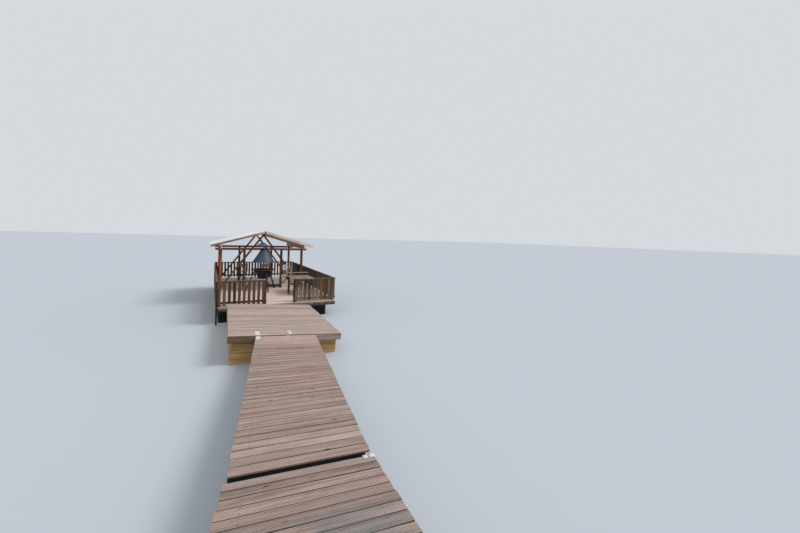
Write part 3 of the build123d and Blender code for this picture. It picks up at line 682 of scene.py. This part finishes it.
# Skirt round the pontoon's floats: four sawn yellow-brown pine boards a side, one above the
# other, running with the deck and cut off level at the water
skirt_wood = timber("yellow_brown_sawn_pine", "#6C4F32 #AE885C #D2AD7C #A08C66")
skirt_t = 0.045
skirt_inset = 0.100
skirt_n = 4
skirt_top = -board_t - 0.120
skirt_tall = 0.148
skirt_gap = 0.004
levels = skirt_top - np.arange(skirt_n + 1) * skirt_tall
runs = [frame_boards(pontoon_lo, pontoon_hi, skirt_t, top, bottom, skirt_inset)
        for top, bottom in zip(levels, levels[1:])]
starts, ends = on_pontoon(join(runs, axis=1))
mesh = timbers(
    "skirt_boards", "skirt_timber", skirt_wood, "skirt_ends skirt_sides", starts, ends, axis_w,
    sawn(skirt_tall - skirt_gap, skirt_t, 0.005), 26, 0.0, 4)
cutter = bmesh.new()
cutter.from_mesh(mesh)
parts = cutter.verts[:] + cutter.edges[:] + cutter.faces[:]
cut = bmesh.ops.bisect_plane(cutter, geom=parts, plane_no=(0, 0, 1), clear_inner=True)
rims = [e for e in cut["geom_cut"] if isinstance(e, bmesh.types.BMEdge)]
bmesh.ops.holes_fill(cutter, edges=rims)
cutter.to_mesh(mesh)
cutter.free()

# Floats: black moulded polyethylene boxes with shallow ribs and chamfered upright corners;
# those under the pontoon are hidden by its skirt
float_plastic = mottled(
    "black_moulded_polyethylene", (3.0, 3.0, 9.0), (0.3, "#060606"), (0.75, "#141311"), 0.6,
    specular=0.3)
paint(float_plastic, "pontoon_floats")
float_w = 1.2
float_l = 1.7
float_corner = 0.06
float_rows = 4
rib_d = 0.018
rib_half = 0.045
rib_flank = 0.010
rib_pitch = 0.18
platform_from = 2.29
platform_to = 10.89


def ribbed_outline(width, length):
    """Outline in plan of a float, with ribs 90 mm wide and 18 mm deep and chamfered corners."""
    def side(reach):
        count = int((reach - 0.3) / rib_pitch)
        at = middles(-count / 2, count / 2, count) * rib_pitch
        flat = rib_half - rib_flank
        steps = np.array([(-rib_half, 0), (-flat, rib_d), (flat, rib_d), (rib_half, 0)])
        dips = outer(at, (1.0, 0.0))[:, None] + steps
        end = reach / 2 - float_corner
        return join([[(-end, 0)], dips.reshape(-1, 2), [(end, 0)]])
    south = side(width) * (1, 1) + (0, -length / 2)
    east = side(length)[:, ::-1] * (-1, 1) + (width / 2, 0)
    return join([south, east, -south, -east])


lo, hi = corners("platform_floats")
float_y = middles(platform_from, platform_to, float_rows)
starts = [(x, y, lo[2]) for x in (lo[0] + float_w / 2, hi[0] - float_w / 2) for y in float_y]
ends = starts + up * (hi[2] - lo[2])
timbers("moulded_floats", "float_plastic", float_plastic, "platform_floats", starts, ends,
        (1, 0, 0), ribbed_outline(float_w, float_l), 27)

# Black painted steel, rusty brown where it has worn: the links between pontoon and platform,
# and the pole at the corner
black_paint = mottled("black_painted_steel", 25.0, (0.4, "#131314"), (0.72, "#2D2622"), 0.55)
paint(black_paint, "module_links", "corner_pole")

# Fence panels: upright pine boards 20 mm thick nailed outside a cap rail and a low rail, and
# square posts inside. Dark brown oil, worn to grey-brown at the front, where the right-hand
# panel's boards are wider and take painted shade near the top; the rails' tops are
# bleached.
fence_left = timber(
    "dark_oiled_pine_fence", "#241912 #523D2F #7F6751 #74675D", spread=(0.5, 1.35), other="#66442E")
fence_right = timber(
    "greyed_pine_fence", "#33281F #766454 #AC9B8A #958A80", 0.45, spread=(0.5, 1.4),
    other="#5F4636")
# Painted shade: the right-hand panel's boards darken towards the top
repainted(fence_right, by_height(fence_right, 1.0, 1.22, 0.0, 0.75), "#7A6E66", "MULTIPLY")
fence_brown = timber(
    "browner_pine_fence", "#2A1D15 #5F4533 #86674E #6C5B4D", 0.35, spread=(0.7, 1.3))
fence_dark = timber(
    "shaded_oiled_pine_fence", "#281D17 #453429 #655145 #5F554E", 0.35, spread=(0.7, 1.2))
cap_wood = timber("bleached_cap_rail", "#2A1F18 #48382E #665448 #62584F", top="#8C7A70")
side_cap_wood = timber("brown_cap_rail", "#2E211A #4F3C31 #6E5848 #6A5E55", top="#6B564A")
picket_w = 0.095
close_picket_w = 0.128
picket_t = 0.020
picket_pitch = 0.160
picket_lean = 0.0025
picket_trim = 0.008
picket_spread = 0.06
cap_rail_h = 0.045
low_rail_h = 0.070
low_rail_lift = 0.060
nail_r = 0.004
nail_off = (-0.02, 0.02)
nail_drop = 0.11


def fence(node, outward, seed, wood, cap_wood, board_w=picket_w, last=0):
    """One panel from its node's box: a cap rail over all, a low rail on the inner side, and
    boards outside, spread about the panel's middle; the last ones are browner."""
    lo, hi = corners(node)
    outward = np.array(outward)
    flat = np.abs(outward)
    axis = flat[[1, 0, 2]]
    middle = (lo + hi) / 2 * [1, 1, 0]
    length = (hi - lo) @ axis
    depth = (hi - lo) @ flat
    count = int((length - board_w) // picket_pitch) + 1
    at = middles(-count / 2, count / 2, count) * picket_pitch
    rng = np.random.default_rng(seed)
    base = middle + outward * (depth - picket_t) / 2 + outer(at, axis)
    lean = outer(rng.normal(0, picket_lean, count), axis)
    feet = base + outer(lo[2] + rng.uniform(0, picket_trim, count), up) - lean
    heads = base + up * (hi[2] - cap_rail_h - 0.0005) + lean
    widths = board_w * (1 - rng.uniform(0, picket_spread, count))
    rows = [("_boards", wood, slice(count - last))]
    if last:
        rows.append(("_last", fence_brown, slice(count - last, count)))
    for ending, stuff, some in rows:
        timbers(node + ending, "rail_timber", stuff, node, feet[some], heads[some], axis,
                sawn(widths[some], picket_t, 0.002), seed)
    half = outer((-length / 2, length / 2), axis)
    cap = middle + half + up * (hi[2] - cap_rail_h / 2)
    timbers(node + "_cap", "rail_timber", cap_wood, "", *cap, flat,
            sawn(depth, cap_rail_h, 0.004), seed + 1)
    low_z = lo[2] + low_rail_lift + low_rail_h / 2
    low = middle - outward * picket_t / 2 + half + up * low_z
    timbers(node + "_low", "rail_timber", wood, "", *low, flat,
            sawn(depth - picket_t, low_rail_h), seed + 2)
    face = base + outward * (picket_t / 2 - 0.001)
    nails = [face + axis * s + up * z for s in nail_off for z in (low_z, hi[2] - nail_drop)]
    screws(node + "_nails", nails, outward, nail_r)


fence("front_rail_left", (0, -1, 0), 31, fence_left, cap_wood)
fence("front_rail_right", (0, -1, 0), 34, fence_right, cap_wood, close_picket_w, 4)
fence("left_rail", (-1, 0, 0), 37, fence_dark, side_cap_wood)
fence("right_rail", (1, 0, 0), 40, fence_dark, side_cap_wood)
fence("back_rail", (0, 1, 0), 43, fence_dark, side_cap_wood)
post_wood = timber("fence_posts", "#2B2019 #4D3B30 #70594A #6B625C", grain="z")
paint(post_wood, "rail_posts")

# The shelter's frame: eight posts 100 mm square, two cross beams, plates along the eaves, a
# ridge beam, long braces from the deck to the ridge, and six pairs of rafters, all in pine.
# Posts and beams have a brown stain. The left front post is painted bright orange below about
# 2 m, a painted sunlight, and stays brown above in the eave's shade. The rafters' stain is
# bleached, and greyer on the left half.
stain = timber(
    "brown_stained_pine_posts", "#402717 #7A4E31 #AE7247 #74594A", 0.45, spread=(0.55, 1.25),
    other="#7D5F3C")
orange = timber(
    "painted_sunlit_pine_post", "#4A2A1A #85502F #B5733F #7A5A46", 0.3, spread=(0.9, 1.1))
# Painted sunlight: the post's lower part is blended to bright orange, fading out by about 2.3 m
repainted(orange, by_height(orange, 1.9, 2.3, 0.8, 0.0), "#C4602F")
post_s = 0.100
brace_lean = atan2(1.86, 2.35)
lo, hi = corners("shelter_posts")
shelter_x = (lo[0] + hi[0]) / 2
post_x = shelter_x + np.array([-1.79, -0.82, 0.82, 1.79])
post_y = np.array([lo[1], hi[1] - post_s]) + post_s / 2
feet = np.array([(x, y, lo[2]) for x in post_x for y in post_y])
heads = feet + up * (hi[2] - lo[2])
for name, wood, some, seed in (
    ("shelter_post_timbers", stain, slice(1, None), 51),
    ("shelter_left_post", orange, slice(1), 52),
):
    timbers(name, "post_timber", wood, "shelter_posts", feet[some], heads[some], (1, 0, 0),
            sawn(post_s, post_s, 0.006), seed, 0.0, 4)
for node, kind, tones, share, grain, lean in (
    ("cross_beams", "faded_", "#4E3129 #8C6152 #B58A79 #8A7268", 0.4, "x", 0.0),
    ("ridge_beam", "stained_", "#4A2A1C #7C4C34 #A9714E #7A6050", 0.35, "y", 0.0),
    ("side_plates", "bleached_", "#8E6A54 #CBA48A #EBD2BF #BCA89C", 0.5, "y", 0.0),
    ("rafters", "bleached_", "#A37A64 #E6C6B2 #FAEBDF #D8CBC2", 0.5, "x", 0.0),
    ("braces_left", "stained_", "#4A3020 #80553A #AC7B56 #7E6854", 0.4, "z", brace_lean),
    ("braces_right", "stained_", "#4A3020 #80553A #AC7B56 #7E6854", 0.4, "z", -brace_lean),
):
    paint(timber(kind + node, tones, share, grain=grain, lean=lean), node)
rafter_wood = nodes["rafters"].data.materials[0]
x = add_node(rafter_wood, "SeparateXYZ", {0: place_of(rafter_wood)}).outputs["X"]
left_half = between(rafter_wood, x, shelter_x - 0.5, shelter_x + 0.1, 0.9, 0.0)
repainted(rafter_wood, left_half, "#8F7D75", "MULTIPLY")

# Roof: boards along the ridge on the rafters, painted long ago and peeling on the underside,
# and white coated sheets over them, with verge strips on the left slope
roof_white = mottled(
    "white_coated_roofing", (0.9, 0.5, 0.9), (0.3, "#D9D8D7"), (0.7, "#E6E5E3"), 0.7, specular=0.15)
roof_board = timber("peeling_roof_boards", "#A07F69 #E6CBB7 #FBF0E6 #DCCFC3")
ridge_z = 3.330
roof_t = 0.030
roof_pitch = 0.66 / 2.26
roof_board_w = 0.118
roof_board_in = 0.006
roof_joint = 0.003
eaves_in = 0.012
sheet_t = 0.009
sheet_n = 4
verge_t = 0.005
roof_screw_r = 0.010
for node, side in (("roof_left", -1), ("roof_right", 1)):
    lo, hi = corners(node)
    reach = hi[0] - lo[0]
    drop = (hi[2] - lo[2] - roof_t * hypot(1.0, roof_pitch)) / reach
    slope = hypot(1.0, drop)
    fall_len = reach * slope
    fall = np.array([side, 0.0, -drop]) / slope
    out = np.array([side * drop, 0.0, 1.0]) / slope
    top = np.array([hi[0] if side < 0 else lo[0], 0.0, ridge_z])
    count = int(fall_len / roof_board_w)
    at = middles(0.0, fall_len - eaves_in, count)
    board_thick = roof_t - sheet_t
    centre = top + outer(at, fall) - out * (roof_t - board_thick / 2)
    starts = centre + (0, lo[1] + roof_board_in, 0)
    ends = centre + (0, hi[1] - roof_board_in, 0)
    timbers(node + "_boards", "roof_sheet", roof_board, node, starts, ends, fall * side,
            sawn(fall_len / count - roof_joint, board_thick), 60 + side)
    mid = top + fall * fall_len / 2 - out * sheet_t / 2
    seams = np.linspace(lo[1], hi[1], sheet_n + 1)
    starts = mid + outer(seams[:-1] + steel_edge, (0, 1, 0))
    ends = mid + outer(seams[1:] - steel_edge, (0, 1, 0))
    timbers(node + "_sheet", "roof_sheet", roof_white, "", starts, ends, fall * side,
            sawn(fall_len - 0.002, sheet_t, steel_edge), 70 + side)
    if side < 0:
        gables = outer((lo[1] + 0.003, hi[1] - 0.003), (0, 1, 0)) - out * roof_t / 2
        starts, ends = (top + fall * d + gables for d in (0.004, fall_len - 0.010))
        timbers("roof_verges", "roof_sheet", roof_white, "", starts, ends, out,
                sawn(roof_t - 0.001, verge_t, steel_edge), 77)
    down, line = np.meshgrid(np.linspace(0.06, fall_len - 0.05, 8),
                             np.linspace(lo[1] + 0.05, hi[1] - 0.05, 2 * sheet_n + 1))
    spots = top - out * 0.0005 + outer(down, fall) + outer(line, (0, 1, 0))
    screws(node + "_screws", spots, out, roof_screw_r, 0.0005)

# Fireplace: a bowl on three splayed flat legs, a ring shelf of stained boards, a round hood on
# rods, and a small cap on straps. Heat-resistant black on bowl, legs, rods and neck; a dull
# slate coating on the hood, and a plum-coloured one on the cap.
black_enamel = mottled("heat_resistant_black_steel", 9.0, (0.35, "#060607"), (0.75, "#151211"), 0.7)


def coated(name, dark, light, rough):
    """Powder-coated steel or moulded plastic: a cloudy bloom and a fine orange-peel bump."""
    mat = mottled(name, (3.5, 3.5, 1.5), (0.3, dark), (0.7, light), rough)
    bumped(mat, noise(mat, place_of(mat), 300.0, 2.0), 0.2, 0.001)
    return mat


slate_coat = coated("slate_powder_coated_steel", "#28394B", "#454F68", 0.5)
plum_coat = coated("plum_powder_coated_steel", "#4A485F", "#605D79", 0.6)
ring_wood = timber(
    "dark_red_brown_stained_boards", "#2A1312 #4A2320 #6B3833 #4F3A36", 0.3, grain="x")
paint(black_enamel, "fire_stand", "hood_supports")
paint(ring_wood, "fire_shelf")


def turned(name, mat, replaced, profile, centre, steps=64, upright=True):
    """Surface of revolution: a closed profile of (radius, height) points, solid on its left,
    carried round a centre about Z, or about Y where it isn't upright. Creased where the profile
    turns by over 35 degrees."""
    profile = np.array(profile, float)
    angle = np.arange(steps) * 2 * pi / steps
    x = outer(profile[:, 0], np.cos(angle))
    y = outer(profile[:, 0], np.sin(angle))
    z = profile[:, 1:]
    verts = points(x, y, z) if upright else points(x, -z, y)
    verts = (verts + centre).reshape(-1, 3)
    i, j = np.meshgrid(np.arange(len(profile)), np.arange(steps), indexing="ij")
    i2, j2 = (i + 1) % len(profile) * steps, (j + 1) % steps
    i = i * steps
    quads = np.stack([i + j, i + j2, i2 + j2, i2 + j], axis=-1).reshape(-1, 4)
    mesh = bpy.data.meshes.new(name)
    mesh.from_pydata(verts, [], quads.tolist())
    mesh.shade_smooth()
    mesh.set_sharp_from_angle(angle=radians(35))
    put(mesh, mat, replaced)


lo, hi = corners("hood")
fire = (lo + hi) / 2 * [1, 1, 0]
hood_r = (hi[0] - lo[0]) / 2
hood_z = lo[2]
cone_r = hood_r - 0.008
neck_z = 2.450
neck_r = 0.140
neck_top = hi[2]
wall = 0.004
axle = 0.002
cap_z = 2.630
base_r = 0.230
rivet_n = 9
rivet_turn = 2.4
rivet_r = 0.006
rivet_h = 0.003
profile = [
    (hood_r - wall, hood_z), (hood_r, hood_z + 0.001), (hood_r, hood_z + 0.016),
    (cone_r, hood_z + 0.022), (neck_r, neck_z), (neck_r - wall, neck_z),
    (cone_r - wall, hood_z + 0.020),
]
turned("hood_cone", slate_coat, "hood", profile, fire)
profile = [
    (neck_r - wall, neck_z - 0.01), (neck_r + 0.004, neck_z - 0.01),
    (neck_r + 0.004, neck_z + 0.02), (neck_r, neck_z + 0.022), (neck_r, neck_top),
    (neck_r - wall, neck_top),
]
turned("hood_neck", black_enamel, "hood", profile, fire)
ray = np.array([cos(rivet_turn), sin(rivet_turn), 0.0])
seam = np.linspace(0.08, 0.92, rivet_n)[:, None]
foot = fire + ray * cone_r + up * (hood_z + 0.022)
head = fire + ray * neck_r + up * neck_z
cone_out = ray * (neck_z - hood_z) + up * (hood_r - neck_r)
screws("hood_rivets", foot * (1 - seam) + head * seam, cone_out, rivet_r, rivet_h,
       black_enamel)
lo, hi = corners("fire_bowl")
rim_r = (hi[0] - lo[0]) / 2
lip_r = rim_r - 0.045
lip_z = hi[2] - 0.006
profile = [
    (axle, lo[2]), (base_r - 0.02, lo[2]), (base_r, lo[2] + 0.015), (lip_r, lip_z),
    (rim_r, lip_z), (rim_r, hi[2]), (lip_r - wall, hi[2]), (base_r - 0.008, lo[2] + 0.022),
    (base_r - 0.026, lo[2] + wall), (axle, lo[2] + wall),
]
turned("bowl_shell", black_enamel, "fire_bowl", profile, fire)
lo, hi = corners("hood_cap")
cap_r = (hi[0] - lo[0]) / 2
cap_at = np.array([(lo[0] + hi[0]) / 2, fire[1], 0.0])
profile = [
    (cap_r - wall, cap_z), (cap_r, cap_z + 0.001), (cap_r, cap_z + 0.008), (axle + 0.01, hi[2]),
    (axle, hi[2]), (axle, hi[2] - 0.012), (cap_r - 0.014, cap_z + 0.006),
]
turned("cap_cone", plum_coat, "hood_cap", profile, cap_at)
rays = np.array([(cos(t), sin(t), 0.0) for t in np.arange(4) * pi / 2])
feet = fire + rays * (neck_r - wall / 2) + up * neck_top
reach = np.linalg.norm(feet[:, :2] - cap_at[:2], axis=1)
heads = feet * [1, 1, 0] + outer(cap_z + (hi[2] - cap_z) * (1 - reach / cap_r) - 0.006, up)
timbers("cap_straps", "cap_steel", black_enamel, "hood_cap", feet, heads, np.cross(rays, up),
        sawn(0.025, 0.005, 0.001), 75)

# Long table at the right-hand fence: weathered pine boards on battens and four square legs,
# with a raised board across its far end
table_wood = timber(
    "weathered_table_boards", "#604E40 #8D7969 #B19D8B #8A7F75", 0.5, spread=(0.75, 1.12))
leg_wood = timber("dark_table_legs", "#2A211B #45382E #61524A #59504A", 0.3)
table_z = 1.320
table_t = 0.035
table_n = 7
leg_s = 0.070
batten_w = 0.045
raised_t = 0.024
raised_w = 0.196
raised_back = 0.10
raised_in = 0.04
under = table_z - table_t
lo, hi = corners("right_table")
pitch = (hi[0] - lo[0]) / table_n
x = middles(lo[0], hi[0], table_n)
starts, ends = (points(x, y, table_z - table_t / 2) for y in (lo[1], hi[1]))
timbers("table_boards", "table_timber", table_wood, "right_table", starts, ends, (1, 0, 0),
        sawn(pitch - 0.005, table_t, 0.004), 81, 0.001)
leg_x = (lo[0] + 0.09, hi[0] - 0.09)
leg_y = (lo[1] + 0.15, hi[1] - 0.15)
feet = [(x, y, lo[2]) for x in leg_x for y in leg_y]
feet = np.array(feet + [(x, hi[1] - raised_back, table_z) for x in leg_x])
heads = feet * [1, 1, 0] + outer([under] * 4 + [hi[2] - 0.026] * 2, up)
timbers("table_legs", "table_timber", leg_wood, "right_table", feet, heads, (1, 0, 0),
        sawn(leg_s, leg_s, 0.004), 82)
starts, ends = ([(x, y, under - leg_s / 2) for y in leg_y]
                for x in (leg_x[0] + leg_s / 2, leg_x[1] - leg_s / 2))
timbers("table_battens", "table_timber", leg_wood, "", starts, ends, (0, 1, 0),
        sawn(batten_w, leg_s), 83)
raised = points((lo[0] + raised_in, hi[0]), hi[1] - raised_back, hi[2] - raised_t / 2)
timbers("table_raised_board", "table_timber", table_wood, "", *raised, (0, 1, 0),
        sawn(raised_w, raised_t), 84)

# Three folding chairs: crossed legs and frames of black square tube, seat and back of
# beige-brown slats
slat_wood = timber("beige_brown_slats", "#7A6650 #B8A184 #D9C6AA #A99D8B", spread=(0.7, 1.15))
deck_z = 0.600
hub = 0.2325
chairs = ((-0.33, 9.85, -15), (0.97, 9.80, 8), (1.72, 7.80, 0))
tubes = [((-s * hub, ahead, 0.013), (s * hub, ahead, 0.430), (0, 1, 0))
         for ahead in (-0.175, 0.175) for s in (-1, 1)]
for s in (-hub, hub):
    tubes += [((s, -0.205, 0.0135), (s, 0.205, 0.0135), (1, 0, 0)),
              ((s, -0.205, 0.424), (s, 0.205, 0.424), (1, 0, 0)),
              ((s, -0.193, 0.430), (s, -0.193, 0.858), (1, 0, 0))]
slats = [((-0.245, ahead, 0.442), (0.245, ahead, 0.442), (0, 1, 0))
         for ahead in np.linspace(-0.180, 0.180, 7)]
slats += [((-0.230, -0.190, z), (0.230, -0.190, z), (0, 0, 1)) for z in (0.675, 0.750, 0.825)]


def placed(members):
    """Starts, ends and directions of members in all chairs, from (across, ahead, height)."""
    rows = []
    for x, y, turn in chairs:
        a = radians(turn)
        axes = [(cos(a), sin(a), 0.0), (sin(a), -cos(a), 0.0), (0.0, 0.0, 1.0)]
        rows.append(np.array(members, float) @ axes)
        rows[-1][:, :2] += (x, y, deck_z)
    return join(rows).swapaxes(0, 1)


timbers("chair_frames", "black_steel", black_paint, "deck_seats", *placed(tubes),
        sawn(0.018, 0.026), 85)
widths = [0.048] * 7 + [0.066] * 3
timbers("chair_slats", "black_steel", slat_wood, "deck_seats", *placed(slats),
        sawn(widths * len(chairs), 0.014), 86)

# A low stool by the table: a seat of three orange-brown pine boards, side by side on four dark
# square legs
stool_wood = timber("orange_brown_stool", "#3C2A1A #77532F #9C7344 #6A5A48", 0.3)
stool_at = np.array([1.24, 4.22, deck_z])
stool_s = 0.28
stool_leg = 0.035
stool_tall = 0.415
seat_t = 0.035
seat_board_w = 0.090
seat_z = stool_tall + seat_t / 2
corner = np.array([(a, b, 0.0) for a in (-1, 1) for b in (-1, 1)]) * (stool_s - stool_leg) / 2
feet = stool_at + corner
timbers("stool_legs", "black_steel", leg_wood, "deck_seats", feet, feet + up * stool_tall,
        (1, 0, 0), sawn(stool_leg, stool_leg), 87)
starts, ends = (stool_at + points(x, (-0.094, 0.0, 0.094), seat_z)
                for x in (-stool_s / 2, stool_s / 2))
timbers("stool_seat", "black_steel", stool_wood, "deck_seats", starts, ends, (0, 1, 0),
        sawn(seat_board_w, seat_t, 0.004), 88)

# Storage box on a low plinth of dark boards: a pale lilac moulded body with a pale green foot,
# and a lid with a drip edge
plastic_lilac = coated("pale_lilac_polypropylene", "#E6DEEC", "#F6F1FA", 0.45)
plastic_green = coated("pale_green_polypropylene", "#C4DCCB", "#DCEBE0", 0.45)
plinth_h = 0.120
plinth_t = 0.030
lo, hi = corners("storage_box")
size = hi - lo
mid = (lo + hi) / 2 * [1, 1, 0]
plinth_z = lo[2] + plinth_h
foot_z = plinth_z + 0.085
lid_z = hi[2] - 0.040
field_z = hi[2] - 0.012
boards = frame_boards(lo, hi, plinth_t, plinth_z, lo[2])
timbers("box_plinth", "pale_box", leg_wood, "storage_box", *boards, up,
        sawn(plinth_h, plinth_t), 91)
for name, z0, z1, smaller, edge, mat in (
    ("box_foot", plinth_z, foot_z, 0.036, 0.02, plastic_green),
    ("box_body", foot_z, lid_z, 0.044, 0.03, plastic_lilac),
    ("box_lid", lid_z, field_z, 0.0, 0.02, plastic_lilac),
    ("box_lid_field", field_z, hi[2], 0.05, 0.03, plastic_lilac),
):
    timbers(name, "pale_box", mat, "storage_box", mid + up * z0, mid + up * z1, (1, 0, 0),
            sawn(*size[:2] - smaller, edge), 92)

# Small white ring, moulded in one piece in satin polyethylene, which hangs on the right front
# brace
white_plastic = coated("white_satin_polyethylene", "#D8D8D4", "#EDEDEA", 0.45)
ring_in = 0.055
lo, hi = corners("hung_ring")
turn = np.arange(16) * pi / 8
half = ((hi[0] - lo[0]) / 2 - ring_in) / 2
section = [ring_in + half + half * np.cos(turn), (hi[1] - lo[1]) / 2 * np.sin(turn)]
turned("ring_moulding", white_plastic, "hung_ring", np.stack(section, axis=-1),
       (lo + hi) / 2, 48, upright=False)

# Floor, light and camera. The floor is a plain pale sheet at the water's level. The camera
# stands on the bank, level, and looks 29 degrees to the right.
floor_half = 260.0
floor_mat = new_material("pale_studio_floor", 0.9, 0.0)
shader_input(floor_mat, "Base Color").default_value = linear("#BEC3C9")
floor_mesh = bpy.data.meshes.new("floor")
sheet = np.array([(-1, -1, 0), (1, -1, 0), (1, 1, 0), (-1, 1, 0)]) * floor_half
floor_mesh.from_pydata(sheet, [], [(0, 1, 2, 3)])
floor_mesh.materials.append(floor_mat)
floor = stand(floor_mesh)

world = bpy.data.worlds.new("studio")
scene.world = world
world.use_nodes = True
back = world.node_tree.nodes["Background"].inputs
back["Color"].default_value = linear("#ECF0F5")
seen = add_node(world, "LightPath").outputs["Is Camera Ray"]
world.node_tree.links.new(between(world, seen, 0.0, 1.0, 0.82, 0.80), back["Strength"])

sun = bpy.data.lights.new("soft_key", "SUN")
sun.energy = 1.6
sun.angle = radians(24)
stand(sun).rotation_euler = (radians(40), radians(12), radians(48))

camera = bpy.data.cameras.new("bank_camera")
camera.sensor_width = 36.0
camera.lens = 15.25
camera.shift_y = -0.037
camera.clip_end = 600.0
eye = stand(camera)
eye.location = (-1.863, -11.06, 3.245)
eye.rotation_euler = (pi / 2, -0.03, -0.506)
scene.camera = eye
scene.view_settings.view_transform = "Standard"
